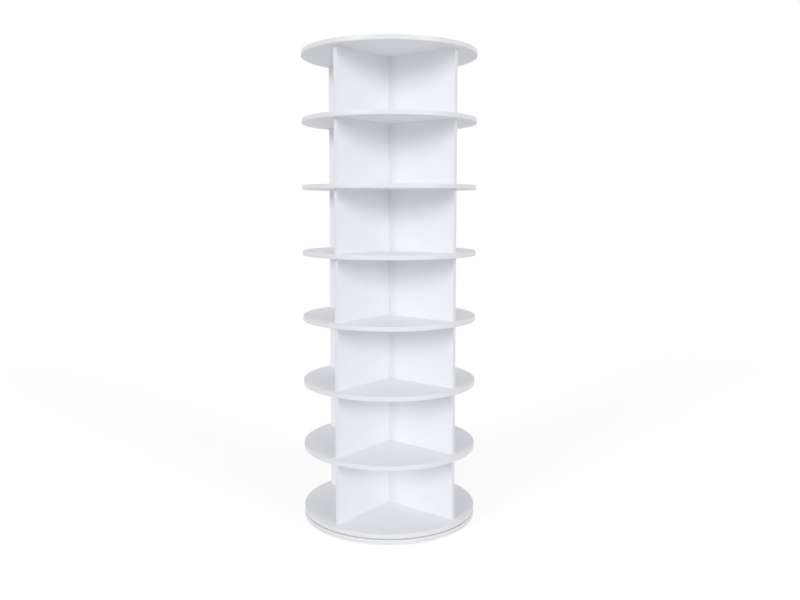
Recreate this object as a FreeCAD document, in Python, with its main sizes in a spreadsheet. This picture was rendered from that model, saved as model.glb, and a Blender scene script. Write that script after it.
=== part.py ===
import FreeCAD
import Part
import Sketcher
import os
from enum import IntEnum

# Rotating shoe tower: eight round shelves on crossed dividers, turning on a ball
# bearing turntable over a fixed base disc. Millimetres, +Z up, origin on the floor
# at the centre of the tower. The long dividers lie along X, the short ones along Y.

doc = FreeCAD.newDocument("RotatingShoeTower")
sheet = doc.addObject("Spreadsheet::Sheet", "Dims")

# Driving dimensions: alias, value, what it is.
DIMENSIONS = (
    # overall form
    ("disc_diameter", 600, "diameter of every disc over its edge band"),
    ("board_thickness", 15, "thickness of the shelf discs"),
    ("base_thickness", 15, "thickness of the base disc"),
    ("tier_height", 209.5, "clear height between two shelf discs"),
    ("tier_count", 7, "number of tiers of compartments"),
    ("divider_thickness", 15, "thickness of the dividers"),
    ("divider_setback", 25, "from the rim of a disc to the end of a divider"),
    ("swivel_gap", 3.5, "visible gap between the base disc and the lowest shelf"),
    ("band_thickness", 1, "thickness of the plastic edge bands"),
    ("band_rounding", 0.5, "rounding of the edges of the disc bands"),
    # floor glides
    ("glide_height", 4, "height of a floor glide"),
    ("glide_diameter", 25, "diameter of a floor glide"),
    ("glide_bevel", 1, "bevel round the foot of a glide"),
    ("glide_setback", 30, "from the rim of the base disc to the middle of a glide"),
    ("glide_count", 8, "number of floor glides"),
    ("nail_diameter", 2, "diameter of a glide's nail"),
    ("nail_length", 9, "length of a glide's nail in the base disc"),
    # turntable
    ("plate_side", 305, "side of the square turntable plates"),
    ("plate_corner", 15, "corner radius of the turntable plates"),
    ("plate_thickness", 1.2, "sheet thickness of the turntable plates"),
    ("plate_fit", 0.5, "clearance round the lower plate in its recess"),
    ("bead_setback", 13.5, "from the side of a turntable plate to its pressed bead"),
    ("race_setback", 19, "from the edge of the bead in to the circle the balls run on"),
    ("lip_setback", 12, "from that circle in to the lower plate's upright wall"),
    ("lip_reach", 3, "how far the lip reaches out over the upper plate"),
    ("lip_clearance", 0.2, "clearance above and below the lip"),
    ("lip_side_clearance", 0.4, "clearance between the upright wall and the upper plate"),
    ("ball_diameter", 5.5, "diameter of a bearing ball"),
    ("ball_count", 36, "number of bearing balls"),
    ("ball_clearance", 0.05, "play of a ball above and below"),
    ("race_side_clearance", 0.3, "play of a ball against the flanks of its race"),
    ("cage_width", 14, "radial width of the ball cage"),
    ("cage_clearance", 0.3, "clearance above and below the ball cage"),
    ("cage_fit", 0.15, "clearance round a ball in the cage"),
    ("access_hole_diameter", 18, "hole in the base disc for reaching the upper screws"),
    # turntable screws
    ("plate_screw_setback", 22.5, "from the sides of a turntable plate to its screws"),
    ("plate_screw_diameter", 4, "diameter of a turntable screw"),
    ("plate_screw_depth", 8.5, "depth of a turntable screw in its board"),
    ("plate_head_diameter", 9, "head diameter of a turntable screw"),
    ("plate_head_height", 1.8, "head height of a turntable screw"),
    ("plate_head_bevel", 0.6, "bevel round the head of a turntable screw"),
    # shelf screws and their caps
    ("screw_diameter", 7, "diameter of a shelf screw"),
    ("screw_length", 50, "length of a shelf screw"),
    ("screw_head_diameter", 10, "head diameter of a shelf screw"),
    ("screw_head_rim", 1, "height of the cylindrical rim of the head"),
    ("screw_head_recess", 0.3, "how deep the head lies below the face of the disc"),
    ("screw_hub_distance", 50, "from the tower's axis to the inner shelf screws"),
    ("screw_end_distance", 40, "from the end of a divider to the outer shelf screws"),
    ("socket_width", 4, "width across flats of the hexagon socket"),
    ("socket_depth", 2.5, "depth of the hexagon socket"),
    ("cap_diameter", 13, "diameter of a screw cap"),
    ("cap_height", 1, "height of a screw cap above the top disc"),
    ("cap_bevel", 0.4, "bevel round the top of a screw cap"),
    ("cap_stem_diameter", 3.6, "diameter of the stem of a screw cap"),
    ("cap_stem_length", 2, "how far the stem goes into the hexagon socket"),
    # dowels
    ("dowel_diameter", 8, "diameter of all dowels"),
    ("dowel_length", 30, "length of a dowel between a disc and a divider"),
    ("dowel_depth", 10, "depth of that dowel in the disc"),
    ("dowel_bevel", 0.8, "bevel round the ends of a dowel"),
    ("dowel_hub_distance", 90, "from the tower's axis to the inner shelf dowels"),
    ("dowel_end_distance", 80, "from the end of a divider to the outer shelf dowels"),
    ("cross_dowel_length", 45, "length of a dowel through the long divider"),
    ("cross_dowel_inset", 50, "from the edges of a divider to the cross dowels"),
    # fits
    ("fastener_fit", 0.05, "clearance round screws, dowels and nails in their holes"),
    ("hole_end_gap", 0.5, "spare depth beyond the end of a screw, nail or dowel"),
)


def fill_sheet():
    """Write each driving dimension into the sheet: its name, its value, what it is."""
    for row, (alias, size, meaning) in enumerate(DIMENSIONS, start=1):
        sheet.set(f"A{row}", alias)
        sheet.set(f"B{row}", str(size))
        sheet.setAlias(f"B{row}", alias)
        sheet.set(f"C{row}", meaning)
    doc.recompute()


fill_sheet()

# Sizes and heights that follow from the driving dimensions, as sheet formulas.
RIM = "(Dims.disc_diameter / 2)"
CORE_DIAMETER = "(Dims.disc_diameter - 2 * Dims.band_thickness)"
ARM = f"({RIM} - Dims.divider_setback)"
PANEL_END = f"({ARM} - Dims.band_thickness)"
HALF_DIVIDER = "(Dims.divider_thickness / 2)"
PITCH = "(Dims.board_thickness + Dims.tier_height)"

BEARING_HEIGHT = "(2 * Dims.plate_thickness + Dims.ball_diameter + 2 * Dims.ball_clearance)"
RECESS_DEPTH = f"({BEARING_HEIGHT} - Dims.swivel_gap)"
BASE_TOP = "(Dims.glide_height + Dims.base_thickness)"
BEARING_BOTTOM = f"({BASE_TOP} - {RECESS_DEPTH})"
BEARING_TOP = f"({BASE_TOP} + Dims.swivel_gap)"

BEAD_RADIUS = "(Dims.plate_side / 2 - Dims.bead_setback)"
RACE_RADIUS = f"({BEAD_RADIUS} - Dims.race_setback)"
LIP_RADIUS = f"({RACE_RADIUS} - Dims.lip_setback)"

# Pressed bead of the turntable plates. A bend of 45 degrees shifts the corner on one
# side of the sheet by tan(22.5) = sqrt(2) - 1 of the thickness against the other side.
BEAD_RISE = "(Dims.plate_thickness + 2 * Dims.lip_clearance)"
BEND_SHIFT = "(Dims.plate_thickness * (sqrt(2) - 1))"
RACE_FLOOR = (
    "((Dims.ball_diameter / 2 + Dims.ball_clearance) * (sqrt(2) - 1)"
    " + Dims.race_side_clearance * sqrt(2))"
)
CAGE_BOTTOM = f"({BEAD_RISE} + Dims.plate_thickness + Dims.cage_clearance)"
CAGE_THICKNESS = f"({BEARING_HEIGHT} - 2 * {CAGE_BOTTOM})"

PLATE_SCREW_OFFSET = "(Dims.plate_side / 2 - Dims.plate_screw_setback)"
PLATE_HOLE = "(Dims.plate_screw_diameter + 2 * Dims.fastener_fit)"
PLATE_HOLE_DEPTH = "(Dims.plate_screw_depth + Dims.hole_end_gap)"

OUTER_SCREW = f"({ARM} - Dims.screw_end_distance)"
SCREW_HOLE = "(Dims.screw_diameter + 2 * Dims.fastener_fit)"
SCREW_TIP = "(Dims.screw_head_recess + Dims.screw_length)"
SCREW_DEPTH_IN_DIVIDER = f"({SCREW_TIP} - Dims.board_thickness + Dims.hole_end_gap)"
SCREW_RIM_DEPTH = "(Dims.screw_head_recess + Dims.screw_head_rim)"
SCREW_CONE_HEIGHT = "((Dims.screw_head_diameter - Dims.screw_diameter) / 2)"

OUTER_DOWEL = f"({ARM} - Dims.dowel_end_distance)"
DOWEL_HOLE = "(Dims.dowel_diameter + 2 * Dims.fastener_fit)"
DOWEL_DEPTH_IN_DIVIDER = "(Dims.dowel_length - Dims.dowel_depth + Dims.hole_end_gap)"
CROSS_DOWEL_DEPTH = (
    "((Dims.cross_dowel_length - Dims.divider_thickness) / 2 + Dims.hole_end_gap)"
)


def value(formula):
    """The number that a sheet formula gives now."""
    return float(sheet.evalExpression(formula))


def shelf_bottom(index):
    """Height of the underside of a shelf disc; index 0 is the lowest."""
    return f"({BEARING_TOP} + {index} * {PITCH})"


def tier_floor(index):
    """Height of the floor of a tier, which is the top face of the disc below it."""
    return f"({shelf_bottom(index)} + Dims.board_thickness)"


# ---------------------------------------------------------------- building helpers

class Axis(IntEnum):
    """How a sketch counts its own axes."""

    X = -1
    Y = -2


class Point(IntEnum):
    """How a sketch counts the points of a line, an arc or a circle."""

    START = 1
    END = 2
    CENTRE = 3


FULL_TURN = 360
LEAST_CUT = 1e-6    # cubic millimetres
SAME_LENGTH = 1e-6  # millimetres

bodies = []


def new_body(label, height, group=False):
    """A body at a height; a group holds several identical solids."""
    body = doc.addObject("PartDesign::Body", label)
    body.Label = label
    body.AllowCompound = group
    body.setExpression("Placement.Base.z", height)
    bodies.append(body)
    return body


def origin_part(body, role):
    """The origin plane or axis of a body that has this role."""
    return next(item for item in body.Origin.OriginFeatures if item.Role == role)


def new_sketch(body, role, name, shift=("0", "0", "0")):
    """A sketch on an origin plane, shifted along its own two axes and its normal."""
    sketch = body.newObject("Sketcher::SketchObject", name)
    sketch.AttachmentSupport = [(origin_part(body, role), "")]
    sketch.MapMode = "FlatFace"
    for axis, formula in zip("xyz", shift):
        if formula != "0":
            sketch.setExpression(f"AttachmentOffset.Base.{axis}", formula)
    return sketch


def pin(sketch, geometry, point, x, y):
    """Hold a point of a sketch at a place given by two formulas."""
    for kind, formula, axis in (("DistanceX", x, Axis.Y), ("DistanceY", y, Axis.X)):
        if formula == "0":
            on_axis = Sketcher.Constraint("PointOnObject", geometry, point, axis)
            sketch.addConstraint(on_axis)
        else:
            distance = Sketcher.Constraint(
                kind, Axis.X, Point.START, geometry, point, value(formula))
            index = sketch.addConstraint(distance)
            sketch.setExpression(f"Constraints[{index}]", formula)


def add_outline(sketch, corners):
    """A closed outline of straight lines through corners given as pairs of formulas."""
    points = [FreeCAD.Vector(value(x), value(y), 0) for x, y in corners]
    count = len(points)
    for index in range(count):
        line = Part.LineSegment(points[index], points[(index + 1) % count])
        sketch.addGeometry(line, False)
    for index in range(count):
        following = (index + 1) % count
        sketch.addConstraint(
            Sketcher.Constraint("Coincident", index, Point.END, following, Point.START))
    for index, (x, y) in enumerate(corners):
        pin(sketch, index, Point.START, x, y)


def add_circle(sketch, x, y, diameter):
    """A circle whose middle and diameter are formulas."""
    centre = FreeCAD.Vector(value(x), value(y), 0)
    circle = Part.Circle(centre, FreeCAD.Vector(0, 0, 1), value(diameter) / 2)
    geometry = sketch.addGeometry(circle, False)
    pin(sketch, geometry, Point.CENTRE, x, y)
    index = sketch.addConstraint(
        Sketcher.Constraint("Diameter", geometry, value(diameter)))
    sketch.setExpression(f"Constraints[{index}]", diameter)


def add_rectangle(sketch, left, right, bottom, top):
    """A rectangle between four formulas."""
    add_outline(sketch, [(left, bottom), (right, bottom), (right, top), (left, top)])


def pad(body, sketch, name, length):
    """Pad a sketch along its normal."""
    feature = body.newObject("PartDesign::Pad", name)
    feature.Profile = sketch
    feature.setExpression("Length", length)
    doc.recompute()
    return feature


def check_cut(feature, before):
    """A cut that takes nothing away is a mistake in its direction or place."""
    doc.recompute()
    if not feature.Shape.Volume < before - LEAST_CUT:
        raise RuntimeError(f"{feature.Name} removes no material")


def pocket(body, sketch, name, length, upward=False):
    """Cut a sketch into the solid, against its normal or, if upward, along it."""
    before = body.Shape.Volume
    feature = body.newObject("PartDesign::Pocket", name)
    feature.Profile = sketch
    feature.Reversed = upward
    feature.setExpression("Length", length)
    check_cut(feature, before)
    return feature


def revolve(body, sketch, name):
    """Turn a profile right round its sketch's vertical axis."""
    feature = body.newObject("PartDesign::Revolution", name)
    feature.Profile = sketch
    feature.ReferenceAxis = (sketch, ["V_Axis"])
    feature.Angle = FULL_TURN
    doc.recompute()
    return feature


def groove(body, sketch, name):
    """Cut a profile, turned right round its sketch's vertical axis."""
    before = body.Shape.Volume
    feature = body.newObject("PartDesign::Groove", name)
    feature.Profile = sketch
    feature.ReferenceAxis = (sketch, ["V_Axis"])
    feature.Angle = FULL_TURN
    check_cut(feature, before)
    return feature


def linear(body, role, length, occurrences):
    """A row of copies along an origin axis, for a pattern to use."""
    step = body.newObject("PartDesign::LinearPattern", f"{body.Name}_row")
    step.Direction = (origin_part(body, role), [""])
    step.setExpression("Length", length)
    step.setExpression("Occurrences", occurrences)
    return step


def polar(body, occurrences):
    """Copies spaced right round the Z axis, for a pattern to use."""
    step = body.newObject("PartDesign::PolarPattern", f"{body.Name}_ring")
    step.Axis = (origin_part(body, "Z_Axis"), [""])
    step.Angle = FULL_TURN
    step.setExpression("Occurrences", occurrences)
    return step


def ring_pattern(body, features, name, occurrences):
    """Repeat features right round the Z axis."""
    pattern = polar(body, occurrences)
    pattern.Label = name
    pattern.Originals = features
    body.Tip = pattern
    doc.recompute()
    return pattern


def arm_pattern(body, features, name, row_length=None, tiers=None):
    """Repeat features on the four arms, and along an arm or up the tiers if asked.

    With no features given, the whole solid made so far is repeated.
    """
    pattern = body.newObject("PartDesign::MultiTransform", name)
    if features:
        pattern.Originals = features
    else:
        pattern.TransformMode = "Whole shape"
    steps = []
    if row_length:
        steps.append(linear(body, "X_Axis", row_length, "2"))
    steps.append(polar(body, "4"))
    if tiers:
        steps.append(linear(body, "Z_Axis", f"({tiers} - 1) * {PITCH}", tiers))
    pattern.Transformations = steps
    body.Tip = pattern
    doc.recompute()
    return pattern


def four_arm_places(inner, outer):
    """Places at two distances from the middle on each of the four arms."""
    reach = [inner, outer, f"-{inner}", f"-{outer}"]
    return [(x, "0") for x in reach] + [("0", y) for y in reach]


def square_places(offset):
    """The four corners of a square round the middle."""
    return [(x, y) for x in (offset, f"-{offset}") for y in (offset, f"-{offset}")]


# ------------------------------------------------------------------ screw profiles

def screw_profile(point):
    """Half section of a shelf screw; point turns a depth in its board into a height."""
    head_radius = "Dims.screw_head_diameter / 2"
    radius = "Dims.screw_diameter / 2"
    return [
        ("0", point("Dims.screw_head_recess")),
        (head_radius, point("Dims.screw_head_recess")),
        (head_radius, point(SCREW_RIM_DEPTH)),
        (radius, point(f"{SCREW_RIM_DEPTH} + {SCREW_CONE_HEIGHT}")),
        (radius, point(f"{SCREW_TIP} - {radius}")),
        ("0", point(SCREW_TIP)),
    ]


def screw_hole_profile(point):
    """Half section of a countersunk hole through a shelf disc, from its own face on."""
    head_radius = "(Dims.screw_head_diameter / 2 + Dims.fastener_fit)"
    radius = "(Dims.screw_diameter / 2 + Dims.fastener_fit)"
    return [
        ("0", "0"),
        (head_radius, "0"),
        (head_radius, point(SCREW_RIM_DEPTH)),
        (radius, point(f"{SCREW_RIM_DEPTH} + {SCREW_CONE_HEIGHT}")),
        (radius, point("Dims.board_thickness")),
        ("0", point("Dims.board_thickness")),
    ]


def plate_screw_profile(point, head):
    """Half section of a turntable screw; head turns a height of its head into a height."""
    head_radius = "Dims.plate_head_diameter / 2"
    radius = "Dims.plate_screw_diameter / 2"
    length = "(Dims.plate_thickness + Dims.plate_screw_depth)"
    return [
        ("0", head("Dims.plate_head_height")),
        (f"{head_radius} - Dims.plate_head_bevel", head("Dims.plate_head_height")),
        (head_radius, head("(Dims.plate_head_height - Dims.plate_head_bevel)")),
        (head_radius, "0"),
        (radius, "0"),
        (radius, point(f"{length} - {radius}")),
        ("0", point(length)),
    ]


def down(formula):
    """A depth that is counted downwards."""
    return f"-({formula})"


def up(formula):
    """A height that is counted upwards."""
    return f"({formula})"


# -------------------------------------------------------------------- discs, bands

def disc_core(body, thickness):
    """The round board of a disc, without its edge band."""
    sketch = new_sketch(body, "XY_Plane", f"{body.Name}_round")
    add_circle(sketch, "0", "0", CORE_DIAMETER)
    pad(body, sketch, f"{body.Name}_board", thickness)


def edge_band(label, height, thickness):
    """The plastic band round the rim of a disc, with its outer edges rounded."""
    body = new_body(label, height)
    sketch = new_sketch(body, "XY_Plane", f"{label}_ring")
    add_circle(sketch, "0", "0", "Dims.disc_diameter")
    add_circle(sketch, "0", "0", CORE_DIAMETER)
    strip = pad(body, sketch, f"{label}_strip", thickness)
    outer = []
    for number, edge in enumerate(strip.Shape.Edges, start=1):
        is_round = edge.Curve.TypeId == "Part::GeomCircle"
        if is_round and abs(edge.Curve.Radius - value(RIM)) < SAME_LENGTH:
            outer.append(f"Edge{number}")
    fillet = body.newObject("PartDesign::Fillet", f"{label}_rounding")
    fillet.Base = (strip, outer)
    fillet.setExpression("Radius", "Dims.band_rounding")
    body.Tip = fillet
    doc.recompute()


def screw_holes(body, point, face):
    """Eight countersunk holes through a shelf disc, from the face at this height."""
    sketch = new_sketch(body, "XZ_Plane", f"{body.Name}_screw_section",
                        ("Dims.screw_hub_distance", face, "0"))
    add_outline(sketch, screw_hole_profile(point))
    hole = groove(body, sketch, f"{body.Name}_screw_hole")
    arm_pattern(body, [hole], f"{body.Name}_screw_holes",
                row_length=f"{OUTER_SCREW} - Dims.screw_hub_distance")


def dowel_holes_on_top(body):
    """Eight blind holes, for the dowels into the dividers on this disc."""
    sketch = new_sketch(body, "XY_Plane", f"{body.Name}_dowel_places",
                        ("0", "0", "Dims.board_thickness"))
    for x, y in four_arm_places("Dims.dowel_hub_distance", OUTER_DOWEL):
        add_circle(sketch, x, y, DOWEL_HOLE)
    pocket(body, sketch, f"{body.Name}_dowel_holes", "Dims.dowel_depth + Dims.hole_end_gap")


def make_shelves():
    """The shelf discs, from the lowest to the top one, each with its edge band."""
    tiers = int(value("Dims.tier_count"))
    for index in range(tiers + 1):
        label = f"shelf_{index + 1}" if index < tiers else "top_shelf"
        body = new_body(label, shelf_bottom(index))
        disc_core(body, "Dims.board_thickness")
        if index == 0:
            screw_holes(body, up, "0")
            sketch = new_sketch(body, "XY_Plane", f"{label}_plate_screw_places")
            for x, y in square_places(PLATE_SCREW_OFFSET):
                add_circle(sketch, x, y, PLATE_HOLE)
            pocket(body, sketch, f"{label}_plate_screw_holes", PLATE_HOLE_DEPTH, upward=True)
        else:
            screw_holes(body, down, "Dims.board_thickness")
        if index < tiers:
            dowel_holes_on_top(body)
        edge_band(f"{label}_edge_band", shelf_bottom(index), "Dims.board_thickness")


# -------------------------------------------------------------------------- base

def make_base_disc():
    """The base disc: recess and screw holes for the turntable, nail and access holes."""
    body = new_body("base_disc", "Dims.glide_height")
    disc_core(body, "Dims.base_thickness")

    half = "(Dims.plate_side / 2 + Dims.plate_fit)"
    recess = new_sketch(body, "XY_Plane", "plate_recess_outline",
                        ("0", "0", "Dims.base_thickness"))
    add_rectangle(recess, f"-{half}", half, f"-{half}", half)
    pocket(body, recess, "plate_recess", RECESS_DEPTH)

    places = new_sketch(body, "XY_Plane", "lower_screw_places",
                        ("0", "0", f"Dims.base_thickness - {RECESS_DEPTH}"))
    for x, y in square_places(PLATE_SCREW_OFFSET):
        add_circle(places, x, y, PLATE_HOLE)
    pocket(body, places, "lower_screw_holes", PLATE_HOLE_DEPTH)

    # The upper screws pass over this hole when the tower stands an eighth turn round.
    access = new_sketch(body, "XY_Plane", "access_place",
                        ("0", "0", "Dims.base_thickness"))
    add_circle(access, f"{PLATE_SCREW_OFFSET} * sqrt(2)", "0", "Dims.access_hole_diameter")
    pocket(body, access, "access_hole", "Dims.base_thickness")

    nail = new_sketch(body, "XY_Plane", "nail_place")
    add_circle(nail, f"{RIM} - Dims.glide_setback", "0",
               "Dims.nail_diameter + 2 * Dims.fastener_fit")
    hole = pocket(body, nail, "nail_hole", "Dims.nail_length + Dims.hole_end_gap", upward=True)
    ring_pattern(body, [hole], "nail_holes", "Dims.glide_count")

    edge_band("base_edge_band", "Dims.glide_height", "Dims.base_thickness")


def make_glides():
    """Nail-on floor glides, spaced round the underside of the base disc."""
    body = new_body("base_glides", "0", group=True)
    radius = "Dims.glide_diameter / 2"
    nail_radius = "Dims.nail_diameter / 2"
    nail_top = "(Dims.glide_height + Dims.nail_length)"
    section = new_sketch(body, "XZ_Plane", "glide_section",
                         (f"{RIM} - Dims.glide_setback", "0", "0"))
    add_outline(section, [
        ("0", "0"),
        (f"{radius} - Dims.glide_bevel", "0"),
        (radius, "Dims.glide_bevel"),
        (radius, "Dims.glide_height"),
        (nail_radius, "Dims.glide_height"),
        (nail_radius, f"{nail_top} - {nail_radius}"),
        ("0", nail_top),
    ])
    glide = revolve(body, section, "glide")
    ring_pattern(body, [glide], "glides", "Dims.glide_count")


# --------------------------------------------------------------------- turntable

def plate_flange(body, bottom):
    """The flat square flange of a turntable plate, round its pressed bead."""
    half = "(Dims.plate_side / 2)"
    outline = new_sketch(body, "XY_Plane", f"{body.Name}_outline", ("0", "0", bottom))
    add_rectangle(outline, f"-{half}", half, f"-{half}", half)
    add_circle(outline, "0", "0", f"2 * {BEAD_RADIUS}")
    flange = pad(body, outline, f"{body.Name}_flange", "Dims.plate_thickness")
    corners = []
    for number, edge in enumerate(flange.Shape.Edges, start=1):
        box = edge.BoundBox
        is_corner = max(box.XLength, box.YLength) < SAME_LENGTH
        if is_corner and abs(box.XMin) > value(BEAD_RADIUS):
            corners.append(f"Edge{number}")
    fillet = body.newObject("PartDesign::Fillet", f"{body.Name}_corners")
    fillet.Base = (flange, corners)
    fillet.setExpression("Radius", "Dims.plate_corner")
    body.Tip = fillet
    doc.recompute()


def plate_screw_holes(body, bottom):
    """Four holes through the flange of a turntable plate."""
    places = new_sketch(body, "XY_Plane", f"{body.Name}_screw_places", ("0", "0", bottom))
    for x, y in square_places(PLATE_SCREW_OFFSET):
        add_circle(places, x, y, PLATE_HOLE)
    pocket(body, places, f"{body.Name}_screw_holes", "Dims.plate_thickness", upward=True)


def bead_faces(floor, crest):
    """The two faces of the pressed bead between the flange and the race's inner flank.

    The first list runs inwards along the face towards the balls, the second outwards
    along the other face. Each height is a formula: floor and crest give, for the two
    faces, the height of the flange level and of the raised level.
    """
    inward = [
        (BEAD_RADIUS, floor[0]),
        (f"{BEAD_RADIUS} - {BEAD_RISE}", crest[0]),
        (f"{RACE_RADIUS} + {RACE_FLOOR} + {BEAD_RISE}", crest[0]),
        (f"{RACE_RADIUS} + {RACE_FLOOR}", floor[0]),
        (f"{RACE_RADIUS} - {RACE_FLOOR}", floor[0]),
        (f"{RACE_RADIUS} - {RACE_FLOOR} - {BEAD_RISE}", crest[0]),
    ]
    outward = [
        (f"{RACE_RADIUS} - {RACE_FLOOR} - {BEAD_RISE} - {BEND_SHIFT}", crest[1]),
        (f"{RACE_RADIUS} - {RACE_FLOOR} - {BEND_SHIFT}", floor[1]),
        (f"{RACE_RADIUS} + {RACE_FLOOR} + {BEND_SHIFT}", floor[1]),
        (f"{RACE_RADIUS} + {RACE_FLOOR} + {BEAD_RISE} + {BEND_SHIFT}", crest[1]),
        (f"{BEAD_RADIUS} - {BEAD_RISE} - {BEND_SHIFT}", crest[1]),
        (f"{BEAD_RADIUS} - {BEND_SHIFT}", floor[1]),
        (BEAD_RADIUS, floor[1]),
    ]
    return inward, outward


def make_lower_plate():
    """Lower turntable plate: flange, ball race, upright wall and the lip over the top."""
    body = new_body("turntable_lower_plate", BEARING_BOTTOM)
    plate_flange(body, "0")
    crest = f"({BEAD_RISE} + Dims.plate_thickness)"
    inward, outward = bead_faces(("Dims.plate_thickness", "0"), (crest, BEAD_RISE))
    lip_bottom = f"({BEARING_HEIGHT} - {BEAD_RISE} + Dims.lip_clearance)"
    lip_top = f"({lip_bottom} + Dims.plate_thickness)"
    lip_end = f"{LIP_RADIUS} + Dims.lip_reach"
    wall_inside = f"{LIP_RADIUS} - Dims.plate_thickness"
    wall = [
        (LIP_RADIUS, crest),
        (LIP_RADIUS, lip_bottom),
        (lip_end, lip_bottom),
        (lip_end, lip_top),
        (wall_inside, lip_top),
        (wall_inside, BEAD_RISE),
    ]
    section = new_sketch(body, "XZ_Plane", "lower_plate_section")
    add_outline(section, inward + wall + outward)
    revolve(body, section, "lower_plate_bead")
    plate_screw_holes(body, "0")


def make_upper_plate():
    """Upper turntable plate: the same flange and race upside down, open in the middle."""
    body = new_body("turntable_upper_plate", BEARING_BOTTOM)
    face = f"({BEARING_HEIGHT} - Dims.plate_thickness)"
    plate_flange(body, face)
    crest = f"({BEARING_HEIGHT} - {BEAD_RISE} - Dims.plate_thickness)"
    crest_back = f"({BEARING_HEIGHT} - {BEAD_RISE})"
    inward, outward = bead_faces((face, BEARING_HEIGHT), (crest, crest_back))
    rim = f"{LIP_RADIUS} + Dims.lip_side_clearance"
    section = new_sketch(body, "XZ_Plane", "upper_plate_section")
    add_outline(section, inward + [(rim, crest), (rim, crest_back)] + outward)
    revolve(body, section, "upper_plate_bead")
    plate_screw_holes(body, face)


def plate_screws(label, height, profile):
    """Four screws at the corners of a turntable plate."""
    body = new_body(label, height, group=True)
    section = new_sketch(body, "XZ_Plane", f"{label}_section",
                         (PLATE_SCREW_OFFSET, "0", f"-{PLATE_SCREW_OFFSET}"))
    add_outline(section, profile)
    screw = revolve(body, section, f"{label}_screw")
    arm_pattern(body, [screw], f"{label}_set")


def make_turntable_screws():
    """The screws down into the base disc and up into the lowest shelf."""
    plate_screws("turntable_lower_screws", f"{BEARING_BOTTOM} + Dims.plate_thickness",
                 plate_screw_profile(down, up))
    plate_screws("turntable_upper_screws", f"{BEARING_TOP} - Dims.plate_thickness",
                 plate_screw_profile(up, down))


def make_balls():
    """Bearing balls, halfway between the two plates."""
    body = new_body("bearing_balls", f"{BEARING_BOTTOM} + {BEARING_HEIGHT} / 2", group=True)
    sketch = new_sketch(body, "XZ_Plane", "ball_section", (RACE_RADIUS, "0", "0"))
    radius = value("Dims.ball_diameter / 2")
    top = FreeCAD.Vector(0, radius, 0)
    side = FreeCAD.Vector(radius, 0, 0)
    foot = FreeCAD.Vector(0, -radius, 0)
    half_round = sketch.addGeometry(Part.Arc(foot, side, top), False)
    axis = sketch.addGeometry(Part.LineSegment(top, foot), False)
    for arc_point, place in (
        (Point.END, (axis, Point.START)),
        (Point.START, (axis, Point.END)),
        (Point.CENTRE, (Axis.X, Point.START)),
    ):
        sketch.addConstraint(
            Sketcher.Constraint("Coincident", half_round, arc_point, *place))
    sketch.addConstraint(
        Sketcher.Constraint("PointOnObject", axis, Point.START, Axis.Y))
    size = sketch.addConstraint(Sketcher.Constraint("Radius", half_round, radius))
    sketch.setExpression(f"Constraints[{size}]", "Dims.ball_diameter / 2")
    ball = revolve(body, sketch, "ball")
    ring_pattern(body, [ball], "balls", "Dims.ball_count")


def make_cage():
    """Flat ring with a pocket for each ball."""
    body = new_body("ball_cage", f"{BEARING_BOTTOM} + {CAGE_BOTTOM}")
    ring = new_sketch(body, "XY_Plane", "cage_ring")
    add_circle(ring, "0", "0", f"2 * {RACE_RADIUS} + Dims.cage_width")
    add_circle(ring, "0", "0", f"2 * {RACE_RADIUS} - Dims.cage_width")
    pad(body, ring, "cage_body", CAGE_THICKNESS)
    place = new_sketch(body, "XY_Plane", "cage_pocket_place", ("0", "0", CAGE_THICKNESS))
    add_circle(place, RACE_RADIUS, "0", "Dims.ball_diameter + 2 * Dims.cage_fit")
    hole = pocket(body, place, "cage_pocket", CAGE_THICKNESS)
    ring_pattern(body, [hole], "cage_pockets", "Dims.ball_count")


# ---------------------------------------------------------------------- dividers

def holes_in_edge(body, name, places, diameter, depth, top):
    """Blind holes in the top or the bottom edge of a divider."""
    level = "Dims.tier_height" if top else "0"
    sketch = new_sketch(body, "XY_Plane", f"{body.Name}_{name}_places", ("0", "0", level))
    for x, y in places:
        add_circle(sketch, x, y, diameter)
    pocket(body, sketch, f"{body.Name}_{name}", depth, upward=not top)


def divider_edge_holes(body, tier, screw_places, dowel_places):
    """Screw holes in the top edge, dowel holes in the bottom edge of a divider."""
    holes_in_edge(body, "top_screw_holes", screw_places, SCREW_HOLE,
                  SCREW_DEPTH_IN_DIVIDER, top=True)
    holes_in_edge(body, "dowel_holes", dowel_places, DOWEL_HOLE,
                  DOWEL_DEPTH_IN_DIVIDER, top=False)
    if tier == 0:
        holes_in_edge(body, "bottom_screw_holes", screw_places, SCREW_HOLE,
                      SCREW_DEPTH_IN_DIVIDER, top=False)


def cross_dowel_holes(body, face, depth):
    """Two holes across the thickness, starting at the face that lies this far along Y."""
    sketch = new_sketch(body, "XZ_Plane", f"{body.Name}_cross_places", ("0", "0", f"-({face})"))
    for height in ("Dims.cross_dowel_inset", "(Dims.tier_height - Dims.cross_dowel_inset)"):
        add_circle(sketch, "0", height, DOWEL_HOLE)
    pocket(body, sketch, f"{body.Name}_cross_holes", depth)


def make_long_divider(tier):
    """The divider that runs right across a tier."""
    body = new_body(f"tier_{tier + 1}_long_divider", tier_floor(tier))
    outline = new_sketch(body, "XY_Plane", f"{body.Name}_outline")
    add_rectangle(outline, f"-{PANEL_END}", PANEL_END, f"-{HALF_DIVIDER}", HALF_DIVIDER)
    pad(body, outline, f"{body.Name}_panel", "Dims.tier_height")
    screws = ["Dims.screw_hub_distance", OUTER_SCREW]
    dowels = ["Dims.dowel_hub_distance", OUTER_DOWEL]
    divider_edge_holes(body, tier,
                       [(f"{sign}{x}", "0") for x in screws for sign in ("", "-")],
                       [(f"{sign}{x}", "0") for x in dowels for sign in ("", "-")])
    cross_dowel_holes(body, f"-{HALF_DIVIDER}", "Dims.divider_thickness")


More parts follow.
